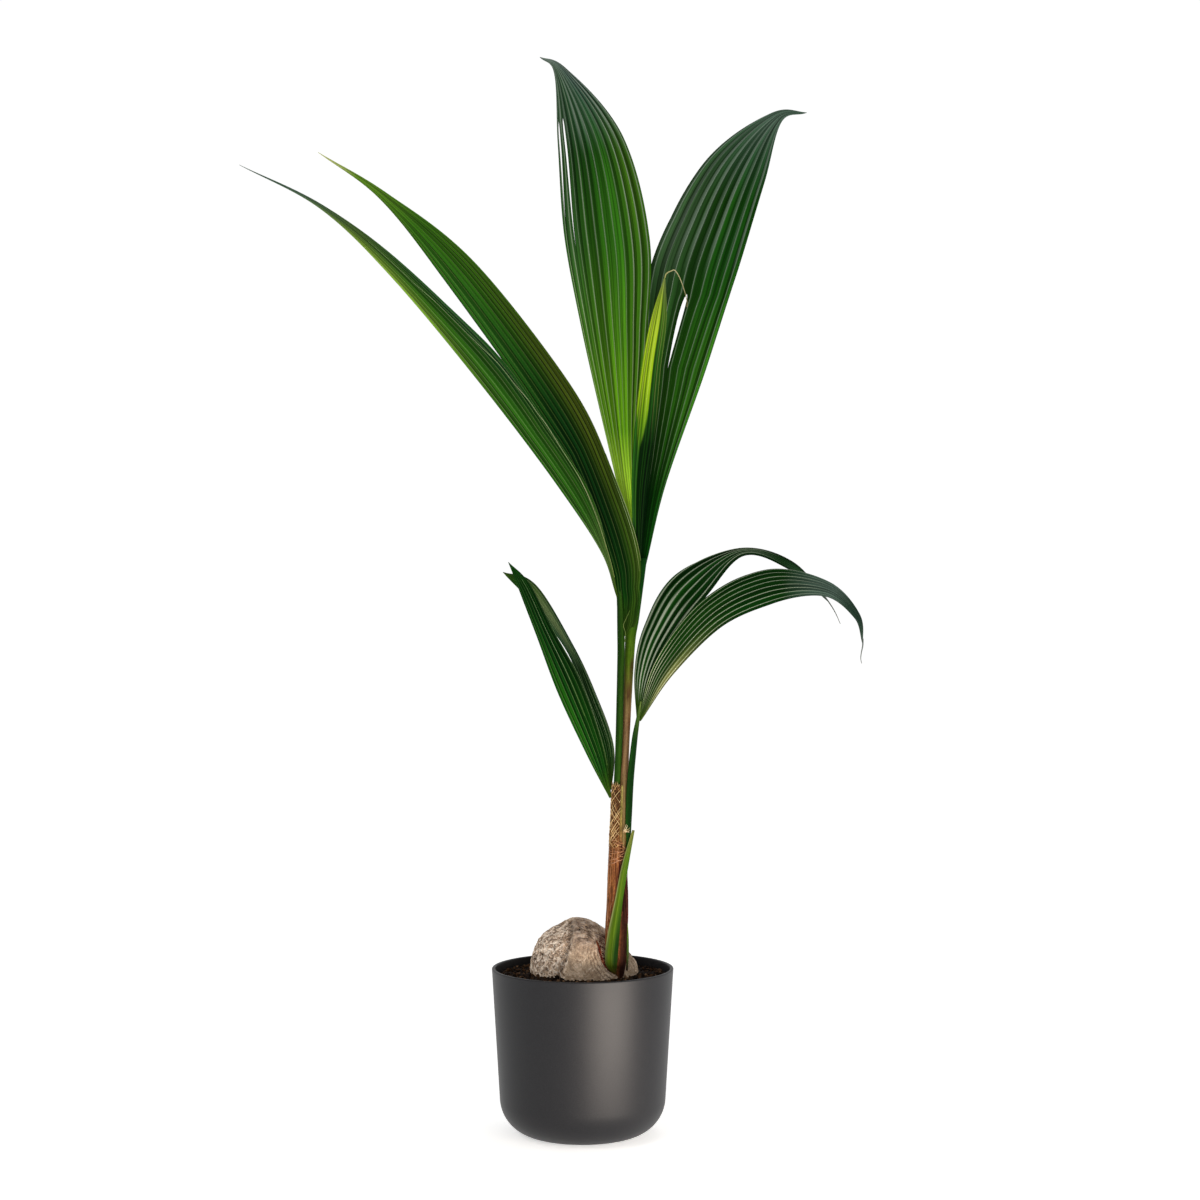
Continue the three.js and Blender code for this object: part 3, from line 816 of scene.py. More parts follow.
def make_sheath_fibres():
    """Wound fibres under the net and long fibres down to the foot of the stem."""
    wound, long_ones = Shape(), Shape()
    steps = np.linspace(0, 1, STEM_FIBRE_STEPS)
    for k in range(RING_FIBRES):
        start = rng.uniform(0, TURN)
        angles = start + rng.uniform(*RING_SPAN) * steps
        heights = RINGS_FOOT + (NET_FOOT - RINGS_FOOT) * (k + rng.random()) / RING_FIBRES
        heights = heights + RING_SWAY * np.sin(steps * rng.uniform(*RING_SWAY_PACE) + k)
        radius, code = rng.uniform(*LOOSE_RADII), rng.choice(WOUND_BROWNS)
        add_stem_fibre(wound, angles, heights, RING_LIFT, radius, code)
    for _ in range(LONG_FIBRES):
        start = rng.uniform(0, TURN)
        foot = rng.uniform(*LONG_FOOT)
        heights = foot + rng.uniform(*LONG_LENGTH) * steps
        heights = heights[heights < NET_FOOT]
        part = np.linspace(0, 1, len(heights))
        angles = start + LONG_LEAN * rng.standard_normal() * part
        angles += LONG_SWAY * np.sin(part * LONG_SWAY_PACE)
        lift = LONG_LIFT + LONG_LIFT_SPREAD * rng.random()
        # long fibres on the right side take dark maroons: painted shade, as on the sheath there
        shaded = math.cos(start + SHADED_TURN) > SHADED_FROM
        radius, code = rng.uniform(*LOOSE_RADII), rng.choice(SHADED_MAROONS if shaded else BROWNS)
        add_stem_fibre(long_ones, angles, heights, lift, radius, code)
    place("sheath_wound_fibres", wound, FIBRE, "stem_fibre")
    place("sheath_long_fibres", long_ones, FIBRE, "stem_fibre")


TUFT = 14
TUFT_PLACE = np.array([49.5, -27.4, 362])
TUFT_CODES = ["#d6c39c", "#c2a678", "#b3926a"]
TUFT_SPREAD, TUFT_CURL, TUFT_BEND, TUFT_TURN = (-1.5, 1.5), (-3, 3), 0.6, 3
TUFT_REACH = ((-2, 7), (-2.5, -0.5), (-2, 7))  # in x, y and z
TUFT_RADIUS, TUFT_TAPER = 0.5, 0.6
TORN_FIBRES = 140
TORN_STEPS = 10
TORN_CODES = ["#6b2418", "#8a4a2c", "#3d1712", "#a2714e", "#571d15", "#4a1611"]
TORN_LENGTH, TORN_ASIDE = (0.4, 1.1), (-0.5, 3)  # in stations of the crevice, and to its right
TORN_LIFT, TORN_CURL, TORN_RADII, TORN_TAPER = 0.4, (0, 2.2), (0.3, 0.6), 0.7


def make_torn_fibres():
    """Pale curls where the lower right petiole leaves the sheath, and torn husk round the sprout."""
    shape = Shape()
    steps = np.linspace(0, 1, TORN_STEPS)
    bend = TUFT_BEND * np.sin(steps * TUFT_TURN)
    tuft_radii = TUFT_RADIUS * (1 - TUFT_TAPER * steps)
    for _ in range(TUFT):
        start = TUFT_PLACE + rng.uniform(*TUFT_SPREAD, 3)
        curl = rng.uniform(*TUFT_CURL, 3)
        reach = np.array([rng.uniform(*limits) for limits in TUFT_REACH])
        path = start + reach * steps[:, None] + curl * bend[:, None]
        add_tube(shape, path, tuft_radii, linear(rng.choice(TUFT_CODES)), FIBRE_SIDES)
    for _ in range(TORN_FIBRES):
        low = rng.uniform(1, len(CREVICE) - 1)
        ends = level_path(CREVICE, [low, low - rng.uniform(*TORN_LENGTH)])
        ends[:, 0] += rng.uniform(*TORN_ASIDE, 2)
        foot, head = nut_hull(on_nut(*ends.T))
        path = foot + (head - foot) * steps[:, None]
        path[:, 1] -= TORN_LIFT + rng.uniform(*TORN_CURL) * steps ** 2
        code = rng.choice(TORN_CODES)
        radii = rng.uniform(*TORN_RADII) * (1 - TORN_TAPER * steps)
        add_tube(shape, path, radii, linear(code), FIBRE_SIDES)
    place("torn_fibres", shape, FIBRE, "stem_fibre")


# Colours along each petiole, those of its lit line with its angle and width, and spots with their place
PETIOLES = {
    "upper_left_frond_petiole": dict(
        stations=[[40.3, -12.8, 405, 3.9, 3.8], [43, -14, 468, 4.2, 4], [45.2, -14, 563, 4.2, 3.9],
                  [45.2, -14, 600, 4.4, 3.4], [43.6, -12.8, 645, 3, 1]],
        along=[(0, "#1c3c0a"), (0.3, "#173508"), (0.6, "#163306"), (0.85, "#163306"), (1, "#173508")],
        lit=([(0, "#355a14")], -1.1, 0.5)),
    "upright_frond_petiole": dict(
        stations=[[47.6, -21.4, 336, 2.6, 4], [48.4, -20.3, 352, 4.4, 6], [49, -16.6, 385, 5, 6.4],
                  [49.4, -13, 418, 5, 6.2], [51.2, -8, 468, 4.6, 4.8], [55.9, -5, 576, 6.1, 6.2],
                  [60.8, -2, 614, 6.6, 5], [70.4, 5.4, 684, 6.5, 5.4]],
        along=[(0, "#5c3c20"), (0.15, "#5a4622"), (0.4, "#604e2a"), (0.48, "#7a5c3c"), (0.62, "#735836"),
               (0.66, "#5c5822"), (0.69, "#466012"), (0.76, "#3c5c0e"), (0.86, "#22500e"),
               (0.93, "#0c400c"), (1, "#0b3c0c")],
        lit=([(0, "#86764a"), (0.6, "#8a6e50"), (0.65, "#6d6c2c"), (0.69, "#5a7c16"), (0.8, "#4c7414"),
              (0.9, "#275c12"), (1, "#123f0c")], -1.6, 0.35),
        spots=[(0.683, -0.9, "#3d2418"), (0.645, -1.3, "#46281a"), (0.6, -0.8, "#5a3a24")]),
    "lower_right_frond_petiole": dict(
        stations=[[53, -22.6, 332, 1.4, 1.4], [54, -23.2, 350, 2.8, 2.7], [54.2, -23.4, 374, 3.8, 3.2],
                  [56.6, -20, 421, 4, 3.1], [61.4, -15.5, 468, 3.5, 3], [66, -13.6, 496, 2.2, 2],
                  [69, -14.6, 514, 0.8, 0.8]],
        along=[(0, "#0d300a"), (0.4, "#082706"), (0.66, "#0d300a"), (0.83, "#3f5a20"), (1, "#6f8440")],
        lit=([(0, "#1c4a12")], -2.3, 0.5)),
}
PETIOLE_ROWS = 120
PETIOLE_SIDES = 28
PETIOLE_LINES = (4, 0.03, 1.1, 3, 8)  # as for the stem's patterns
PETIOLE_RELIEF, PETIOLE_CONTRAST, LIT_SHARE = 0.14, 0.3, 0.55
SPOT_LONG, SPOT_WIDE, SPOT_MOST = 0.012, 0.55, 0.9


def make_petiole(name, stations, along, lit, spots=()):
    angle, share = limb_grid(PETIOLE_ROWS, PETIOLE_SIDES)
    height = limb_points(stations, share, angle)[:, 2]
    lines = limb_lines(angle, height, *PETIOLE_LINES)
    points = limb_points(stations, share, angle, PETIOLE_RELIEF * lines)
    stops, middle, width = lit
    colour = mixed(ramp(along, share), ramp(stops, share), LIT_SHARE * bell(angle - middle, width))
    colour = colour * (1 + PETIOLE_CONTRAST * lines)[:, None]
    for place_along, side, code in spots:
        near = bell(share - place_along, SPOT_LONG) * bell(angle - side, SPOT_WIDE)
        colour = over(colour, code, np.clip(near * (1 + lines), 0, SPOT_MOST))
    grain = np.column_stack([angle / TURN, height, np.zeros(len(share))])
    rings, tint = points.reshape(PETIOLE_ROWS, -1, 3), np.clip(colour, 0, 1)
    place_skin(name.replace("petiole", "stalk"), rings, tint, grain, STALK, "petiole", name)


# Half blades

# Places of the lines of a lane, from fold to fold
LANE_LINES = np.array([0, 0.06, 0.16, 0.27, 0.38, 0.46, 0.5, 0.54, 0.62, 0.73, 0.84, 0.94])
LEVEL = ((0, 0), (1, 0))
TIP_WIDTH = 0.6
LIME, FRESH, GRASS, GREEN, DEEP = "#b2dc3a", "#5d9115", "#3d6d12", "#24540e", "#163f0a"
DARK, NIGHT, PINE, OLIVE, MOSS = "#0a3306", "#042404", "#10300f", "#30470f", "#46602a"
# Grey-green, slate and ash serve mostly as a painted sheen of the sky towards the tips of the blades
GREY_GREEN, SLATE, ASH, STRAW = "#2a4a2e", "#435a4a", "#66746a", "#c6c97e"

# Each half has the points of its middle line with its full width and its turn in degrees there, and the
# relative widths of its lanes. Pleat is the height of its pleats as a share of their pitch, and camber
# that of its arch as a share of its width. Left and right widen an edge, and skew moves the lanes
# sideways, by share of the length. A slit has the number of a border between lanes, where it starts and
# ends along the blade, and how far it opens. A patch has its place across and along, its half width and
# half length, its colour and strength. A sheen, partly a painted highlight and partly the pale midribs, has
# its colour and strength, its place in the lane and half width, and where it starts and ends along the
# blade. Where a ramp along the blade turns grey towards the tip, the grey is a painted sheen of the sky.
# Bands are painted light and shade on the two flanks of each pleat, with a spread and a lean of their
# brightness.
HALVES = {
    "upright_frond_left_half": dict(
        path=[[64.6, 8, 678.1], [49, 14, 810], [39, 26, 951], [30, 48, 1072], [10, 90, 1199],
              [-29, 165, 1302], [-57, 225, 1335]],
        widths=[3, 35, 82, 110, 86, 18, TIP_WIDTH], turns=[20, 20, 20, 20, 18, 10, 0],
        lanes=[0.35, 0.85, 0.9, 1, 1.1, 1.1, 1, 1, 0.95, 0.9, 0.75], rows=150, pleat=0.11, camber=-0.03,
        slits=[(1, 0.52, 0.71, 1.8), (2, 0.47, 0.72, 2.4)],
        # the lime at the foot is painted light shining through the leaf
        along=[(0, LIME), (0.1, LIME), (0.2, FRESH), (0.33, GRASS), (0.5, GREEN), (0.65, DEEP),
               (0.76, GREY_GREEN), (0.9, ASH)],
        patches=[(-0.85, 0.55, 0.3, 0.25, "#2c4a26", 0.7), (0.8, 0.58, 0.3, 0.14, "#477216", 0.6),
                 (0.75, 0.25, 0.3, 0.16, "#2c5212", 0.5), (0.2, 0.55, 0.2, 0.12, "#2f6a14", 0.5),
                 # the first patch on this line is a painted bluish reflection of the sky on the curled tip
                 (0.7, 0.82, 0.6, 0.1, "#1a3432", 0.8), (-0.4, 0.8, 0.4, 0.12, "#22502a", 0.6)],
        sheens=[("#b4c0a4", 0.26, 0.5, 0.08, 0.1, 0.9), ("#93a094", 0.3, 0.34, 0.24, 0.68, 0.95)],
        bands=(0.28, 0.05),
        ribs=[(0, "#b9c777"), (0.25, "#9db070"), (0.55, "#8f9f86"), (0.8, "#7d8b82"), (1, "#6a766c")]),
    "upright_frond_right_half": dict(
        path=[[70.5, 8, 678.1], [84, 16, 776], [112, 30, 916], [137, 54, 1041], [184, 96, 1159],
              [242, 160, 1242], [286, 210, 1260]],
        widths=[12, 34, 77, 108, 85, 19, TIP_WIDTH], turns=[-22, -22, -22, -22, -20, -10, 0],
        lanes=[0.85, 0.95, 1, 1.05, 1.05, 1.1, 1.1, 1.1, 0.95], rows=150, pleat=0.1, camber=-0.03,
        left=[(0.3, 0), (0.36, 0.05), (0.44, 0.08), (0.5, 0.06), (0.57, 0)],
        slits=[(4, 0.325, 0.452, 5.6)], skew=[(0.2, 0), (0.33, -0.12), (0.45, 0.13), (0.7, 0.08), (1, 0)],
        # the dark foot of the ramp is a painted shadow
        along=[(0, DARK), (0.14, DARK), (0.28, GREEN), (0.45, DEEP), (0.62, DEEP), (0.72, GREY_GREEN),
               (0.82, SLATE)],
        # the first patch is a painted grey sheen on the inner side
        patches=[(-0.75, 0.55, 0.45, 0.2, "#33492f", 0.75), (0.8, 0.3, 0.35, 0.16, "#2f5c12", 0.6),
                 # the first patch on this line is the painted shadow of the spear leaf near the foot, on
                 # the inner side
                 (-0.6, 0.1, 0.6, 0.14, "#04200a", 0.8), (0.65, 0.55, 0.4, 0.2, "#0b3c08", 0.7),
                 (0.85, 0.06, 0.45, 0.14, "#0c460c", 0.85)],
        sheens=[("#93a390", 0.16, 0.5, 0.08, 0.2, 0.9), ("#7f8f80", 0.34, 0.34, 0.24, 0.52, 0.85)],
        bands=(0.28, -0.06),
        ribs=[(0, "#4a6a32"), (0.25, "#8a9f74"), (0.55, "#93a391"), (0.8, "#7f8d84"), (1, "#6f7a70")]),
    "upper_left_frond_front_half": dict(
        path=[[41, -14, 638.2], [25, -29, 693], [-17, -42, 774], [-106, -53, 898], [-212, -66, 1014],
              [-300, -82, 1087], [-393, -96, 1133]],
        widths=[2, 10, 40, 54, 33, 9, TIP_WIDTH], turns=[20, 40, 48, 50, 50, 50, 50],
        right=[(0, 0.3), (0.16, 0.15), (0.22, 0.5), (0.3, 0.36), (0.41, 0.06), (0.45, 0.14), (0.49, 0.24),
               (0.53, 0.22), (0.56, 0.13), (0.6, 0.02), (1, 0)],
        lanes=[0.8, 0.9, 1, 1.05, 1.05, 1, 0.95, 0.9, 0.75], rows=150, pleat=0.13, camber=0.05,
        along=[(0, OLIVE), (0.15, MOSS), (0.27, "#1e4a0c"), (0.5, DEEP), (0.64, GREEN), (0.76, MOSS),
               (0.88, SLATE)],
        patches=[(-0.85, 0.68, 0.4, 0.14, "#76942f", 0.75), (-0.5, 0.45, 0.3, 0.2, "#37741a", 0.6),
                 (0.2, 0.4, 0.25, 0.3, "#22420e", 0.6), (0.8, 0.6, 0.35, 0.15, "#24492c", 0.7)],
        sheens=[("#a3b878", 0.36, 0.5, 0.07, 0.06, 0.9)], bands=(0.38, 0.26),
        ribs=[(0, "#aebb84"), (0.3, "#6f9148"), (0.6, "#6b8f52"), (1, "#6a756d")]),
    "upper_left_frond_back_half": dict(
        path=[[51.6, -8, 591], [54, -14, 674], [16, -8, 785], [-41, 0, 886], [-147, 2, 1027],
              [-236, -8, 1113], [-312, -24, 1162]],
        widths=[2, 30, 41, 67, 62, 17, TIP_WIDTH], turns=[4, 6, 22, 40, 46, 46, 46],
        left=[(0, 7.8), (0.01, 4), (0.02, 2.6), (0.035, 1.7), (0.06, 1.05), (0.09, 0.67), (0.15, 0.39),
              (0.28, 0.28), (0.38, 0)],
        right=[(0, 1), (0.01, 2), (0.02, 2.2), (0.035, 1.9), (0.05, 1.26), (0.07, 0.76), (0.09, 0.48),
               (0.105, 0.2), (0.12, -0.05), (0.167, 0.03), (0.3, 0)],
        lanes=[0.8, 0.9, 1, 1.05, 1.1, 1.05, 1, 0.95, 0.9, 0.75], rows=150, pleat=0.13, camber=0.04,
        along=[(0, OLIVE), (0.1, DARK), (0.3, NIGHT), (0.44, DARK), (0.54, DEEP), (0.64, GREEN),
               (0.76, "#305e10"), (0.9, "#577c20"), (1, STRAW)],
        patches=[(0.65, 0.44, 0.52, 0.2, "#3f4a10", 0.9), (-0.8, 0.33, 0.5, 0.18, "#06260a", 0.85),
                 (-0.35, 0.44, 0.4, 0.1, "#06280a", 0.9), (0.7, 0.2, 0.45, 0.14, "#354f10", 0.8),
                 (-0.7, 0.62, 0.4, 0.12, "#2a5f1c", 0.6)],
        sheens=[("#8b9a5c", 0.15, 0.5, 0.07, 0.1, 0.9)], bands=(0.36, 0.24),
        ribs=[(0, "#5c7030"), (0.3, "#2c4a14"), (0.6, "#4a6a26"), (1, "#a3b45a")]),
    "lower_right_frond_back_half": dict(
        path=[[65, -13, 491], [72, -11, 548], [90, -5, 596], [126, 2, 649], [189, 4, 691],
              [248, -2, 675], [292, -12, 631]],
        widths=[2, 22, 38, 48, 35, 23, TIP_WIDTH], turns=[-5, -8, -12, -22, -76, -62, -60],
        lanes=[0.9, 1, 1.05, 1.05, 1, 0.9], rows=130, pleat=0.2, camber=0.02,
        along=[(0, OLIVE), (0.15, DEEP), (0.3, DARK), (0.5, DARK), (0.65, PINE), (0.8, PINE),
               (0.92, GREY_GREEN), (1, ASH)],
        patches=[(0.8, 0.35, 0.4, 0.3, "#0a2f0a", 0.7)],
        sheens=[("#b9c2aa", 0.85, 0.4, 0.26, 0.1, 0.44), ("#a0ab92", 0.7, 0.46, 0.12, 0.42, 0.75),
                ("#5f6b58", 0.4, 0.4, 0.2, 0.66, 1.1)],
        ribs=[(0, "#93a06c"), (0.2, "#aab491"), (0.5, "#a9b399"), (0.75, "#7d8a74"), (1, "#70786d")]),
    "lower_right_frond_front_half": dict(
        path=[[68, -14, 491], [99, -28, 555], [154, -50, 619], [217, -72, 650], [280, -92, 647],
              [314, -106, 616], [320, -114, 583]],
        widths=[2, 25, 42, 52, 26, 11, TIP_WIDTH], turns=[-25, -28, -34, -40, -44, -40, -30],
        left=[(0, 0.6), (0.08, 0.5), (0.3, 0.2), (0.45, 0)],
        lanes=[0.85, 0.95, 1, 1, 1, 1, 0.95, 0.85], rows=130, pleat=0.15, camber=0.05,
        along=[(0, OLIVE), (0.14, DEEP), (0.28, DEEP), (0.42, DARK), (0.54, DARK), (0.62, "#4a6052"),
               (0.7, "#586c60"), (0.78, "#2e4738"), (0.86, "#284034"), (0.94, SLATE)],
        patches=[(0.75, 0.42, 0.45, 0.16, "#0a3a08", 0.7), (0.8, 0.14, 0.4, 0.1, "#9a9a58", 0.7)],
        sheens=[("#e6e6c4", 0.85, 0.44, 0.18, 0.06, 0.2), ("#b9c2a6", 0.55, 0.48, 0.07, 0.22, 0.65),
                ("#66725f", 0.4, 0.4, 0.2, 0.7, 1.1)],
        ribs=[(0, "#a9b07c"), (0.15, "#c4c59c"), (0.4, "#a3ad92"), (0.7, "#7c8a7a"), (1, "#6b746d")]),
    "lower_left_frond_front_half": dict(
        path=[[33.2, -15, 400], [14, -22, 459], [-15, -32, 532], [-45, -42, 598], [-68, -52, 650],
              [-86, -60, 678]],
        widths=[3, 25, 35, 23, 16, TIP_WIDTH], turns=[20, 28, 30, 30, 30, 30],
        lanes=[0.9, 1, 1.1, 1, 1, 0.85], rows=110, pleat=0.13, camber=0.04,
        along=[(0, OLIVE), (0.12, DARK), (0.3, DARK), (0.5, NIGHT), (0.75, NIGHT), (0.92, DARK), (1, DEEP)],
        patches=[(-0.5, 0.5, 0.4, 0.35, "#06320a", 0.7), (-0.7, 0.35, 0.3, 0.25, "#1c520a", 0.6)],
        sheens=[("#5f8348", 0.2, 0.5, 0.1, 0.1, 0.9)],
        ribs=[(0, "#7f8f45"), (0.3, "#5d7f40"), (1, "#4a6a3a")]),
    "lower_left_frond_back_half": dict(
        path=[[33.4, -10, 409], [29, -6, 463], [8, -4, 521], [-15, -6, 576], [-61, -14, 644],
              [-94, -22, 667]],
        widths=[2, 22, 24, 18, 29, TIP_WIDTH], turns=[-30, -50, -52, -55, -50, -40],
        lanes=[0.9, 1, 1.1, 1, 1, 0.85], rows=110, pleat=0.15, camber=0.02,
        along=[(0, OLIVE), (0.15, DARK), (0.5, NIGHT), (0.65, GREY_GREEN), (0.78, MOSS), (0.9, DEEP),
               (1, OLIVE)],
        patches=[(0.2, 0.7, 0.5, 0.11, "#64734a", 0.85), (1.0, 0.6, 0.3, 0.25, "#0a2a0c", 0.9)],
        sheens=[("#7d8f6c", 0.3, 0.5, 0.1, 0.1, 0.9)],
        ribs=[(0, "#7a8548"), (0.3, "#6d8560"), (0.7, "#74865f"), (1, "#5f5f42")]),
}
FORM = ("path", "widths", "turns", "lanes", "rows", "pleat", "camber", "skew", "left", "right")
ROW_POWER = 1.05
FLAT_ENDS = (0, 0.06, 0.93, 1)
PLEAT_SHARP = 0.88
UNEVEN, UNEVEN_PACE, UNEVEN_STEP = 0.25, 12.4, 2.4
FOLD_SHADE, FOLD_FROM = 0.5, -0.72
SHEEN_EASE, SHEEN_CORE, SHEEN_SPREAD, SHEEN_MOST = 0.05, 0.3, (0.2, 1.6), 0.9
VEIN_SPREAD, VEIN_STOPS = 0.23, 6
BANDS, BAND_DRIFT, BAND_PACE, BAND_LIMITS, BAND_BLEND = (0.26, 0.2), 0.7, (3, 8), (-0.6, 0.4), 0.12
BLADE_HALF, MARGIN_HALF, MARGIN_POWER = 0.3, 0.14, 6  # half thickness
LEAST_HALF, TIP_THIN = 0.05, (1.02, 0.9)
SLIT_RISE, SLIT_FALL, SLIT_GAIN, SLIT_PULL = 1.2, 0.45, 2.63, 1.5
UNDER_CODE, UNDER_SHARE, UNDER_GAIN = "#3c5a34", 0.18, 1.1
GRAIN_LENGTH, UNDER_GRAIN = 1000, 7.7
MAP_WIDE, MAP_LONG, MAP_UNDER, MAP_WALL, MAP_MARGIN = 0.46, 0.96, 0.5, 0.006, 0.01
RIB_RADIUS, RIB_SIDES, RIB_TAPER, RIB_LIFT = 0.4, 6, 0.5, 0.12
RIB_PITCH, RIB_FROM = 1.5, 0.03  # least pitch of the pleats, least share of the length
RIB_FULL_PITCH, RIB_LEAST, RIB_POWER = 7, 0.25, 0.7
PALE_LEAST, PALE_SPREAD, PALE_POWER = 0.25, 0.7, 1.4


def blade_frame(path, widths, turns, shares):
    """Middle line of a blade, its directions out of the face and across, and its width."""
    middle = through(path, shares)
    along = unit(through(path, shares + SMALL_STEP) - through(path, shares - SMALL_STEP))
    form = through(np.column_stack([widths, turns]), shares)
    face = unit(FRONT - along * (along @ FRONT)[:, None])
    turn = np.radians(form[:, 1:])
    face = face * np.cos(turn) + np.cross(along, face) * np.sin(turn)
    return middle, face, np.cross(along, face), form[:, 0]


def pleat_wave(part):
    """Height of a pleat from -1 in its folds to 1 on its crest, at parts of its lane."""
    straight = 1 - np.abs(4 * (part % 1) - 2)
    return PLEAT_SHARP * straight - (1 - PLEAT_SHARP) * np.cos(TURN * part)


class Blade:
    """Pleated half blade: lanes side by side from edge to edge, each with a fold at both sides."""

    def __init__(self, path, widths, turns, lanes, rows, pleat, camber,
                 skew=LEVEL, left=LEVEL, right=LEVEL):
        count = len(lanes)
        self.shares = np.linspace(0, 1, rows) ** ROW_POWER
        share = self.shares[:, None]
        self.lane = np.append(np.add.outer(np.arange(count), LANE_LINES).ravel(), count)
        borders = np.concatenate([[0], np.cumsum(lanes)]) / np.sum(lanes) * 2 - 1
        even = np.interp(self.lane, np.arange(count + 1), borders)
        wider = (level(right, share) * (1 + even) - level(left, share) * (1 - even)) / 2
        self.reach = even + level(skew, share) * (1 - even ** 2) + wider
        middle, self.face, self.across, width = blade_frame(path, widths, turns, self.shares)
        width = width[:, None]
        self.pitch = width[:, 0] / count
        self.wave = pleat_wave(self.lane)
        uneven = 1 + UNEVEN * np.sin(UNEVEN_PACE * share + self.lane.astype(int) * UNEVEN_STEP)
        rise = pleat * width / count * self.wave * uneven * plateau(share, *FLAT_ENDS)
        rise = rise + camber * width * (1 - np.minimum(self.reach ** 2, 1))
        sides = self.across[:, None] * (self.reach * width / 2)[..., None]
        self.points = middle[:, None] + sides + self.face[:, None] * rise[..., None]

    def tints(self, along, patches, sheens, bands):
        """Colours of the upper side, by length, by place, and by pleat, with painted shade in the folds,
        painted light and shade on the flanks, and sheens that are partly painted highlights.
        """
        share = np.broadcast_to(self.shares[:, None], self.reach.shape)
        colour = ramp(along, share)
        for reach, length, wide, long, code, strength in patches:
            near = bell(self.reach - reach, wide) * bell(share - length, long)
            colour = over(colour, code, strength * near)
        colour = colour * (self.bands(*bands) * self.veins())[..., None]
        colour = colour * (1 - FOLD_SHADE * smoothstep(FOLD_FROM, -1, self.wave))[:, None]
        for code, strength, part, wide, first, last in sheens:
            near = smoothstep(wide, SHEEN_CORE * wide, np.abs(self.lane % 1 - part))
            within = plateau(
                share, first - SHEEN_EASE, first + SHEEN_EASE, last - SHEEN_EASE, last + SHEEN_EASE)
            strengths = strength * rng.uniform(*SHEEN_SPREAD, int(self.lane[-1]) + 1)[self.lane.astype(int)]
            colour = over(colour, code, np.clip(strengths * near * within, 0, SHEEN_MOST))
        return colour

    def veins(self):
        """Brightness of the fine lines along the blade."""
        stops = np.exp(VEIN_SPREAD * rng.standard_normal((VEIN_STOPS, len(self.lane))))
        where = np.linspace(0, 1, VEIN_STOPS)
        return np.stack([np.interp(self.shares, where, line) for line in stops.T], 1)

    def bands(self, spread, lean):
        """Brightness of each pleat's two flanks, which drifts along the blade: painted light and shade that
        the lean sets on alternate flanks, and tone at random from the spread.
        """
        count = 2 * int(self.lane[-1])
        steady = spread * rng.standard_normal(count) + lean * np.where(np.arange(count) % 2, -1, 1)
        phase, pace = rng.uniform(0, TURN, count), rng.uniform(*BAND_PACE, count)
        drift = BAND_DRIFT * spread * np.sin(self.shares[:, None] * pace + phase)
        gains = np.exp(np.clip(steady + drift, *BAND_LIMITS))
        flank = np.minimum((self.lane * 2).astype(int), count - 1)
        part = self.lane * 2 - flank
        before, after = np.maximum(flank - 1, 0), np.minimum(flank + 1, count - 1)
        to_before = smoothstep(BAND_BLEND, 0, part) / 2
        to_after = smoothstep(1 - BAND_BLEND, 1, part) / 2
        return (gains[:, flank] * (1 - to_before - to_after) + gains[:, before] * to_before
                + gains[:, after] * to_after)

    def open_slits(self, ids, slits):
        """Parts lanes at the slits. Gives the number of each point for the cell on its right, the added
        points, the numbers of the points that they double, and the lines of the walls."""
        starts = ids.copy()
        added, doubled, walls = [], [], []
        for border, first, last, gap in slits:
            column = border * len(LANE_LINES)
            cut = np.flatnonzero((self.shares > first) & (self.shares < last))
            part = (self.shares[cut] - first) / (last - first)
            open_by = gap * part ** SLIT_RISE * (1 - part) ** SLIT_FALL * SLIT_GAIN
            away = self.lane - border
            pull = np.sign(away) * np.clip(1 - np.abs(away), 0, 1) ** SLIT_PULL
            self.points[cut] += self.across[cut, None] * (open_by[:, None] / 2 * pull)[..., None]
            move = self.across[cut] * (open_by / 2)[:, None]
            starts[cut, column] = ids.size + len(doubled) + np.arange(len(cut))
            added.append(self.points[cut, column] + move)
            doubled.extend(ids[cut, column])
            self.points[cut, column] -= move
            run = np.concatenate([[cut[0] - 1], cut, [cut[-1] + 1]])
            walls += [(ids[run, column], 1), (starts[run, column][::-1], -1)]
        return starts, added, doubled, walls

    def sheet(self, shape, tints, slits=()):
        """Adds the blade as a thin closed sheet, open where a slit parts two lanes."""
        ids = np.arange(self.reach.size).reshape(self.reach.shape)
        starts, added, doubled, walls = self.open_slits(ids, slits)
        flat = np.vstack([self.points.reshape(-1, 3), *added])
        count = len(flat)
        pick = np.concatenate([ids.ravel(), np.array(doubled, int)])
        row, column = np.divmod(pick, ids.shape[1])
        lane, share = self.lane[column], self.shares[row]
        edge = np.minimum(np.abs(self.reach.ravel()[pick]), 1) ** MARGIN_POWER
        half = (BLADE_HALF + (MARGIN_HALF - BLADE_HALF) * edge) * smoothstep(*TIP_THIN, share) + LEAST_HALF
        lift = self.face[row] * half[:, None]
        tint = tints.reshape(-1, 3)[pick]
        under = over(tint * UNDER_GAIN, UNDER_CODE, UNDER_SHARE)
        grain = np.column_stack([
            np.tile(lane, 2), np.tile(share * GRAIN_LENGTH, 2), np.repeat([0, UNDER_GRAIN], count)])
        cells = np.stack([starts[:-1, :-1], ids[:-1, 1:], ids[1:, 1:], starts[1:, :-1]], -1).reshape(-1, 4)
        upper = np.column_stack([lane / self.lane[-1] * MAP_WIDE, share * MAP_LONG]) + MAP_MARGIN
        lower = upper + [MAP_UNDER, 0]
        faces = cells.tolist() + (cells[:, ::-1] + count).tolist()
        places = [upper[cells].reshape(-1, 2), lower[cells[:, ::-1]].reshape(-1, 2)]
        walls += [(ids[:, 0][::-1], -1), (ids[:, -1], 1), (ids[0], 1), (ids[-1][::-1], 1)]
        for line, way in walls:
            faces += np.column_stack([line[:-1], line[:-1] + count, line[1:] + count, line[1:]]).tolist()
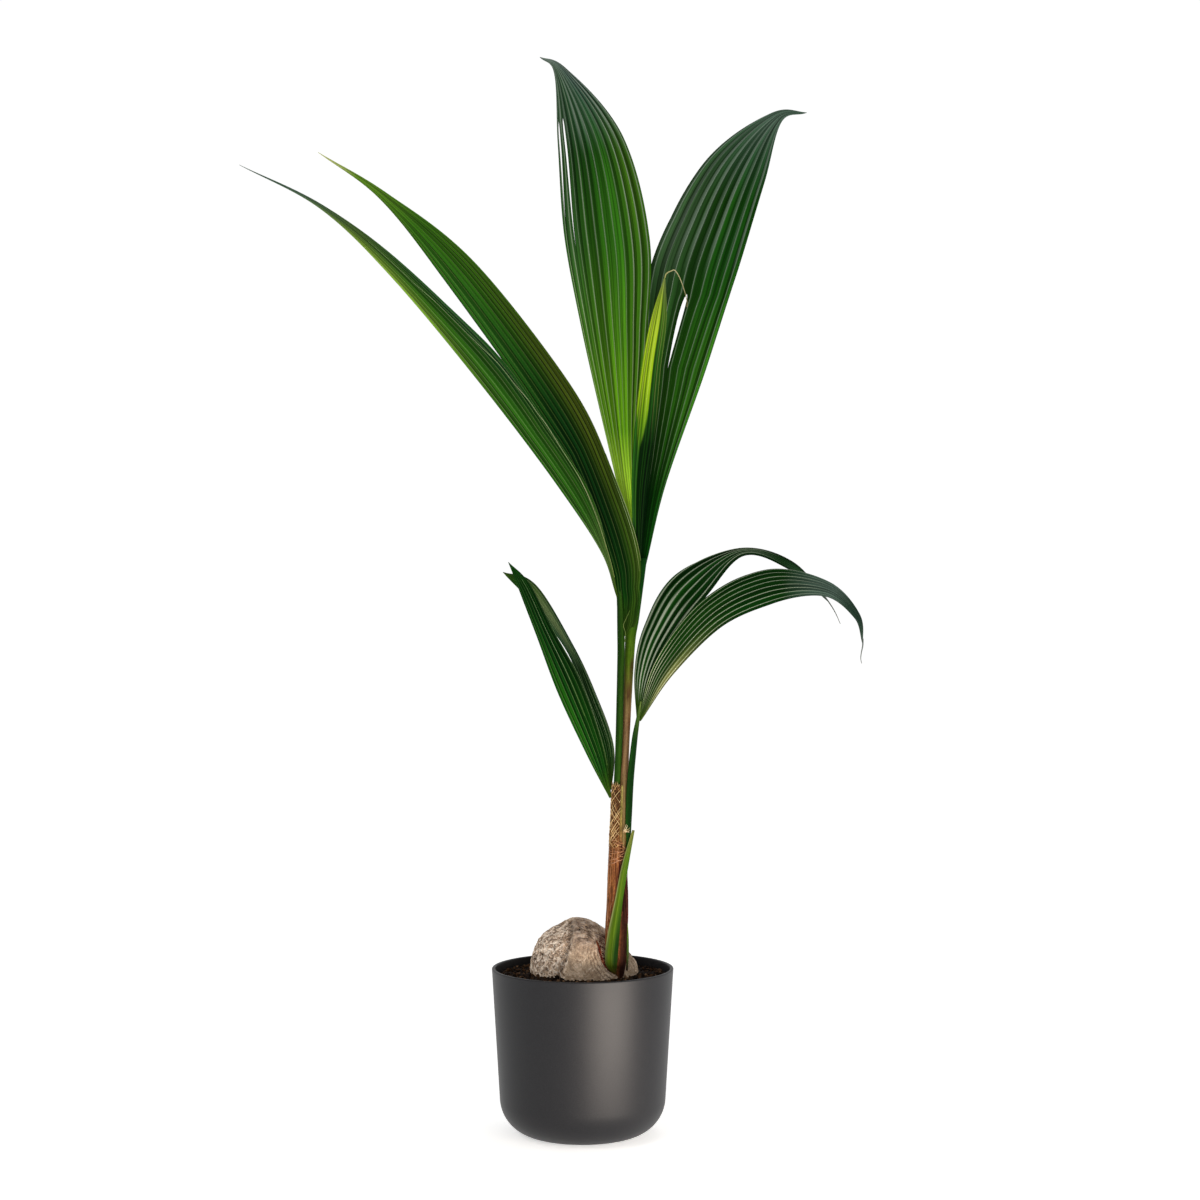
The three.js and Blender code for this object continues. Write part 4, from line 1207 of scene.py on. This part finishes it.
            near, far = upper[line], upper[line] + [MAP_WALL * way, 0]
            places.append(np.stack([near[:-1], far[:-1], far[1:], near[1:]], 1).reshape(-1, 2))
        both = np.vstack([flat + lift, flat - lift])
        shape.add(both, faces, np.concatenate(places), np.vstack([tint, under]), grain)

    def ribs(self, shape, stops, tints):
        """Adds a fine rib along the crest of each pleat."""
        used = np.flatnonzero((self.pitch > RIB_PITCH) & (self.shares > RIB_FROM))
        size = RIB_RADIUS * np.clip(self.pitch[used] / RIB_FULL_PITCH, RIB_LEAST, 1) ** RIB_POWER
        size = size * (1 - RIB_TAPER * self.shares[used])
        for column in range(len(LANE_LINES) // 2, len(self.lane), len(LANE_LINES)):
            path = self.points[used, column] + self.face[used] * RIB_LIFT
            pale = PALE_LEAST + PALE_SPREAD * rng.random() ** PALE_POWER
            colour = mixed(tints[used, column], ramp(stops, self.shares[used]), pale)
            add_tube(shape, path, size, colour, RIB_SIDES)


def make_blade(leaf):
    return Blade(**{key: leaf[key] for key in FORM if key in leaf})


def make_half(name, leaf):
    blade = make_blade(leaf)
    sheet, ribs = Shape(), Shape()
    tints = blade.tints(leaf["along"], leaf["patches"], leaf["sheens"], leaf.get("bands", BANDS))
    blade.sheet(sheet, tints, leaf.get("slits", ()))
    blade.ribs(ribs, leaf["ribs"], tints)
    nodes = [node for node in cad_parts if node.startswith(name)]
    place(name + "_blade", sheet, LEAF, "leaf", *nodes)
    place(name + "_ribs", ribs, RIB, "leaf")
    return blade


# Light margins and threads

PALE_EDGE = [(0, "#6f8040"), (0.15, "#8f9c5c"), (0.4, "#b9c48e"), (0.6, "#b7c492"), (1, "#6f8c55")]
DULL_EDGE = [(0, "#4f6a30"), (0.4, "#7f936c"), (1, "#62804f")]
EDGE = 9  # beyond the last lane
MARGINS = [
    ("upper_left_frond_front_half", 0.5, PALE_EDGE, [
        (0.07, 0.96), (0.3, 0.97), (0.42, 0.94), (0.46, 0.8), (0.5, 0.7), (0.565, 0.44), (0.63, 0.2),
        (0.68, 0.06), (0.74, 0.0)]),
    ("upper_left_frond_back_half", 0.4, PALE_EDGE, [(0.17, EDGE), (0.36, EDGE)]),
    ("upper_left_frond_back_half", 0.3, PALE_EDGE, [(0.15, 0.84), (0.33, 0.86)]),
    ("lower_left_frond_front_half", 0.32, DULL_EDGE, [(0.12, 0.96), (0.6, 0.96)]),
    ("lower_left_frond_front_half", 0.28, DULL_EDGE, [(0.3, 0.15), (0.85, 0.2)]),
    ("lower_left_frond_back_half", 0.24, DULL_EDGE, [(0.14, 0.95), (0.55, 0.95)]),
    ("lower_left_frond_back_half", 0.24, DULL_EDGE, [(0.14, 0.35), (0.5, 0.35)]),
]  # half, radius, colours, and share of the length with place across
MARGIN_LIFT, MARGIN_TAPER = 0.4, 0.5

# Path, first and last radius, and colours of the thread on the spear leaf, the edge in the notch of the
# upper left frond, and the threads on the tips of the lower right frond's back and front halves
THREADS = [
    ([[97.5, 9.6, 1015], [99.6, 11, 1023.5], [105.6, 14.5, 1027.6], [110.6, 18.5, 1028.8],
      [116.8, 25, 1020], [121.8, 32, 1008], [125.4, 38.5, 996], [125.8, 41.5, 988]],
     0.75, 0.5, [(0, "#a3a35c"), (0.4, "#c7b98c"), (1, "#8f8a5c")]),
    ([[56, -15.2, 622], [51.5, -15.6, 612], [48.4, -18, 604], [50.6, -17.6, 595], [49.8, -16.6, 584]],
     0.4, 0.35, [(0, "#3f5a1c"), (0.4, "#738244"), (1, "#5f7233")]),
    ([[285, -10, 641], [292, -12, 631], [297, -13.5, 623], [301, -14.5, 615], [305, -15, 605.5]],
     0.9, 0.35, [(0, "#5f675e"), (1, "#8a8c86")]),
    ([[320, -113, 590], [319.8, -114, 582], [318.2, -114, 574], [317.6, -113.6, 567], [318.8, -113, 561.7]],
     0.9, 0.35, [(0, "#5f675f"), (1, "#8a8c86")]),
]
THREAD_STEPS = 40


def make_threads(blades):
    shape = Shape()
    steps = np.linspace(0, 1, THREAD_STEPS)
    for path, first, last, stops in THREADS:
        add_tube(shape, through(path, steps), first + (last - first) * steps, ramp(stops, steps), RIB_SIDES)
    for name, radius, stops, line in MARGINS:
        blade = blades[name]
        used = np.flatnonzero((blade.shares > line[0][0]) & (blade.shares < line[-1][0]))
        path = np.array([
            [np.interp(reach, blade.reach[row], side) for side in blade.points[row].T]
            for row, reach in zip(used, level(line, blade.shares[used]))])
        part = np.linspace(0, 1, len(used))
        radii = radius * (1 - MARGIN_TAPER * part)
        add_tube(shape, path + blade.face[used] * MARGIN_LIFT, radii, ramp(stops, part), RIB_SIDES)
    place("dry_threads_and_margin", shape, RIB, "leaf")


# Spear leaf and scale leaf

SPEAR = dict(
    path=[[65, 0.6, 676], [67, -4, 764], [74, -4, 834], [82, -1, 910], [91, 4, 968], [98, 10, 1019]],
    widths=[7, 17, 24, 22, 18, 1], turns=[-8] * 6)
SPEAR_ROWS = 100
SPEAR_COLUMNS = 141
SPEAR_LINES, SPEAR_LINE_SPREAD = 47, 0.3
SPEAR_ROLL = (math.radians(16), math.radians(-400))  # from the free edge in front, round by the left
SPEAR_DEPTH = 0.42  # of its width
SPEAR_LANES, SPEAR_PLEAT, SPEAR_FLAT_FOOT = 12, 0.07, (0.02, 0.2)
SPEAR_INNER, INNER_TURN = 0.82, (0.45, 1)  # size of the inner turn, and where the roll winds in
SPEAR_HALF, SPEAR_LEAST = 0.3, 0.05
SPEAR_GRAIN = 350
OUTER_COLOURS = [(0, "#3d5a1c"), (0.1, "#55792c"), (0.3, "#3f6d22"), (0.42, "#6a9a14"), (0.55, "#a6cc1c"),
                 (0.75, "#b2cf2a"), (0.9, "#94b02e"), (1, "#8f9a55")]
# Painted shade: colours of the inner turn and of the shadow on the outer turn
SHADED_COLOURS = [(0, "#021902"), (0.35, "#041f04"), (0.48, "#1c4a14"), (0.65, "#33661a"), (0.85, "#5a7c28"),
                 (1, "#7a8a48")]

# Edges of the lit part of the outer turn, as share of the length with place across
LIT_FROM = [(0.3, -0.35), (0.34, -0.4), (0.39, -0.6), (0.45, -0.85), (0.53, -1.2)]
LIT_TO = [(0.3, -0.35), (0.34, -0.3), (0.39, -0.02), (0.45, 0.2), (0.53, 0.4), (0.74, 0.6)]
OUTER_TURN, DEEP_IN, SHADE_EDGE = (0.3, 0.24), (0.56, 0.64), (-0.08, 0.1)
LEFT_CODE, LEFT_EDGE, LEFT_TOP = "#2a641a", (0.05, -0.12), (0.6, 0.5)
# Painted shade in the folds of the spear's pleats, darker in some lanes than in others
SPEAR_FOLD_SHADE, SPEAR_FOLD, SPEAR_FOLD_SPREAD = "#1c4a0c", (-0.1, -1), (0.2, 1)
CREST_CODE, CREST_SHARE, CREST = "#c3cf6a", 0.4, (0.5, 1)
CREST_TURN, CREST_FOOT = (0.84, 0.76), (0.35, 0.55)
SPEAR_BACK = 0.9  # brightness of its inner face


def spear_tints(shares, part, angle, wave):
    """Colours of the outer face of the roll, lit in front, with painted shade on the inner turn and a
    painted shadow over the lower part of the outer turn.
    """
    share = shares[:, None]
    outer_turn = smoothstep(*OUTER_TURN, part)
    to_left = np.sin(angle) - level(LIT_FROM, share)
    to_right = np.sin(angle) - level(LIT_TO, share)
    left = smoothstep(*LEFT_EDGE, to_left) * outer_turn * smoothstep(*LEFT_TOP, share)
    # painted shade inside the roll and a painted shadow on the lower part of the outer turn
    spear_shade = np.maximum(smoothstep(*SHADE_EDGE, to_right) * outer_turn, smoothstep(*DEEP_IN, part))
    colour = over(ramp(OUTER_COLOURS, share), LEFT_CODE, left)
    colour = mixed(colour, ramp(SHADED_COLOURS, share), spear_shade)
    lines = np.exp(SPEAR_LINE_SPREAD * rng.standard_normal(SPEAR_LINES))
    colour = colour * np.repeat(lines, SPEAR_COLUMNS // SPEAR_LINES)[:, None]
    lanes = (part * SPEAR_LANES).astype(int)
    # painted shade in the folds
    folds = smoothstep(*SPEAR_FOLD, wave) * rng.uniform(*SPEAR_FOLD_SPREAD, SPEAR_LANES + 1)[lanes]
    crest = CREST_SHARE * smoothstep(*CREST, wave) * smoothstep(*CREST_TURN, part)
    colour = over(colour, SPEAR_FOLD_SHADE, folds)
    return over(colour, CREST_CODE, crest * smoothstep(*CREST_FOOT, share))


def make_spear():
    """Young leaf, rolled up by a little more than a turn."""
    shares, part = np.linspace(0, 1, SPEAR_ROWS), np.linspace(0, 1, SPEAR_COLUMNS)
    middle, face, across, width = blade_frame(**SPEAR, shares=shares)
    angle = SPEAR_ROLL[0] + (SPEAR_ROLL[1] - SPEAR_ROLL[0]) * part
    wave = pleat_wave(part * SPEAR_LANES)
    size = 1 - (1 - SPEAR_INNER) * smoothstep(*INNER_TURN, part)
    ripple = SPEAR_PLEAT * wave * smoothstep(*SPEAR_FLAT_FOOT, shares)[:, None]
    scale = (size + ripple) * width[:, None] / 2
    skins = []
    for lift in (SPEAR_HALF, -SPEAR_HALF):
        wide = np.maximum(scale + lift, SPEAR_LEAST) * np.sin(angle)
        deep = np.maximum(scale * 2 * SPEAR_DEPTH + lift, SPEAR_LEAST) * np.cos(angle)
        skins.append(middle[:, None] + across[:, None] * wide[..., None] + face[:, None] * deep[..., None])
    colour = spear_tints(shares, part, angle, wave)
    rings = np.concatenate([skins[0], skins[1][:, ::-1]], 1)
    tint = np.clip(np.concatenate([colour, colour[:, ::-1] * SPEAR_BACK], 1), 0, 1).reshape(-1, 3)
    lane = np.concatenate([part, part[::-1]]) * SPEAR_LANES
    grain = np.stack(np.broadcast_arrays(lane, shares[:, None] * SPEAR_GRAIN, 0.0), -1).reshape(-1, 3)
    place_skin("spear_leaf_roll", rings, tint, grain, YOUNG_LEAF, "young_leaf", "spear_leaf")


SCALES = {
    "scale_leaf_blade": dict(
        path=[[38.6, -45.5, 196], [35.4, -46.2, 204], [33.8, -46.4, 214], [36.2, -43, 240],
              [42.4, -38.5, 280], [50, -32.2, 321], [60, -28, 363]],
        widths=[1.5, 11, 15, 14.5, 9.5, 8, 3], turns=[0] * 7, lanes=[1.0], rows=100, pleat=0.1, camber=0.12,
        along=[(0, "#3a3c0e"), (0.2, "#38470b"), (0.46, "#3b510c"), (0.67, "#455d10"), (0.87, "#4a6416"),
               (1, "#6c6f36")],
        # the first two patches are painted shade on the right flank
        patches=[(0.45, 0.36, 0.3, 0.22, "#062604", 1.0), (0.85, 0.45, 0.4, 0.26, "#062604", 1.0),
                 (-1, 0.71, 0.25, 0.36, "#a4a86a", 0.8), (0.8, 0.75, 0.5, 0.17, "#3a6210", 0.7),
                 (0, 0.0, 1.2, 0.1, "#4a2a16", 0.7)],
        nodes=["scale_leaf"]),
    "scale_leaf_sliver": dict(
        path=[[52.2, -41.5, 200], [53.2, -39.4, 218], [53.4, -37, 236], [53, -35.5, 254]],
        widths=[2.6, 3.2, 2.6, 0.8], turns=[35] * 4, lanes=[1.0], rows=40, pleat=0.08, camber=0.1,
        along=[(0, "#241a0f"), (0.35, "#2c3c16"), (0.7, "#3c541c"), (1, "#5a6428")], patches=[], nodes=[]),
}
SCALE_SHEENS = [("#9db04a", 0.12, 0.5, 0.05, 0.1, 0.9)]
SCALE_BANDS = (0.05, 0.05)


def make_scales():
    for name, leaf in SCALES.items():
        blade = make_blade(leaf)
        shape = Shape()
        blade.sheet(shape, blade.tints(leaf["along"], leaf["patches"], SCALE_SHEENS, SCALE_BANDS))
        place(name, shape, YOUNG_LEAF, "young_leaf", *leaf["nodes"])


make_pot()
make_soil()
make_crumbs()
make_nut()
make_husk_fibres()
make_stem()
make_net()
make_sheath_fibres()
make_torn_fibres()
for petiole_name, petiole in PETIOLES.items():
    make_petiole(petiole_name, **petiole)
make_threads({half_name: make_half(half_name, half) for half_name, half in HALVES.items()})
make_spear()
make_scales()


# Studio, in metres

CAMERA_PLACE = (0.0206, -2.650, 0.634)
CAMERA_LENS = 66.807
SENSOR = 36.0
FLOOR_RADIUS = 2.4
FLOOR_SIDES = 96
FLOOR_DROP = 0.0004
FLOOR_GLOW = 0.5
FLOOR_PAINT = ("#f4f4f3", "#f8f8f7", 40.0, 0.8, 0.2, 0.02)  # as for the other mottled materials
WHITE = (1.0, 1.0, 1.0, 1.0)
HORIZON_GLOW, TOP_GLOW, GLOW_FADE = 1.02, 0.35, (0.3, 0.6)
WIDE_SPREAD, STRIP_SPREAD = math.pi, math.radians(100)
LIGHTS = {
    "key": ((-1.9, -2.2, 2.4), (0, 0, 0.75), (1.0, 1.0), 24, (1.0, 0.97, 0.92), WIDE_SPREAD),
    "low_strip": ((0.30, -0.47, 0.06), (0.033, -0.1, 0.1), (0.5, 0.12), 1.85, (1.0, 0.89, 0.79),
                  STRIP_SPREAD),
    "top": ((0.6, 1.0, 2.9), (0, 0, 0.9), (1.4, 1.4), 10, (0.93, 0.97, 1.0), WIDE_SPREAD),
}  # place, aim, size, power, colour and spread


def make_floor():
    angle = np.arange(FLOOR_SIDES) / FLOOR_SIDES * TURN
    points = np.column_stack([np.cos(angle), np.sin(angle), np.zeros(FLOOR_SIDES)]) * FLOOR_RADIUS
    mesh = bpy.data.meshes.new("floor")
    mesh.from_pydata((points - [0, 0, FLOOR_DROP]).tolist(), [], [list(range(FLOOR_SIDES))])
    paint = grained("floor_paint", *FLOOR_PAINT)
    shader = paint.node_tree.nodes["Principled BSDF"]
    shader.inputs["Emission Color"].default_value = WHITE
    shader.inputs["Emission Strength"].default_value = FLOOR_GLOW
    mesh.materials.append(paint)
    floor = bpy.data.objects.new("floor", mesh)
    bpy.context.scene.collection.objects.link(floor)


def add_light(name, spot, aim, size, power, colour, spread):
    light = bpy.data.lights.new(name, "AREA")
    light.shape = "RECTANGLE"
    light.size, light.size_y = size
    light.energy = power
    light.color = colour
    light.spread = spread
    lamp = bpy.data.objects.new(name, light)
    lamp.location = spot
    lamp.rotation_euler = (Vector(aim) - Vector(spot)).to_track_quat("-Z", "Y").to_euler()
    lamp.visible_camera = False
    bpy.context.scene.collection.objects.link(lamp)


def make_world():
    """Soft white surround, brighter near the horizon than overhead."""
    world = bpy.data.worlds.new("studio")
    world.use_nodes = True
    tree = world.node_tree
    direction = tree.nodes.new("ShaderNodeTexCoord")
    parts = tree.nodes.new("ShaderNodeSeparateXYZ")
    tree.links.new(direction.outputs["Generated"], parts.inputs["Vector"])
    glow = ranged(tree, parts.outputs["Z"], HORIZON_GLOW, TOP_GLOW, *GLOW_FADE)
    tree.links.new(glow, tree.nodes["Background"].inputs["Strength"])
    tree.nodes["Background"].inputs["Color"].default_value = WHITE
    bpy.context.scene.world = world


def make_camera():
    camera = bpy.data.cameras.new("camera")
    camera.lens = CAMERA_LENS
    camera.sensor_width = SENSOR
    holder = bpy.data.objects.new("camera", camera)
    holder.location = CAMERA_PLACE
    holder.rotation_euler = (math.pi / 2, 0, 0)
    bpy.context.scene.collection.objects.link(holder)
    bpy.context.scene.camera = holder


make_floor()
make_world()
for light_name, settings in LIGHTS.items():
    add_light(light_name, *settings)
make_camera()
bpy.context.scene.view_settings.view_transform = "Standard"
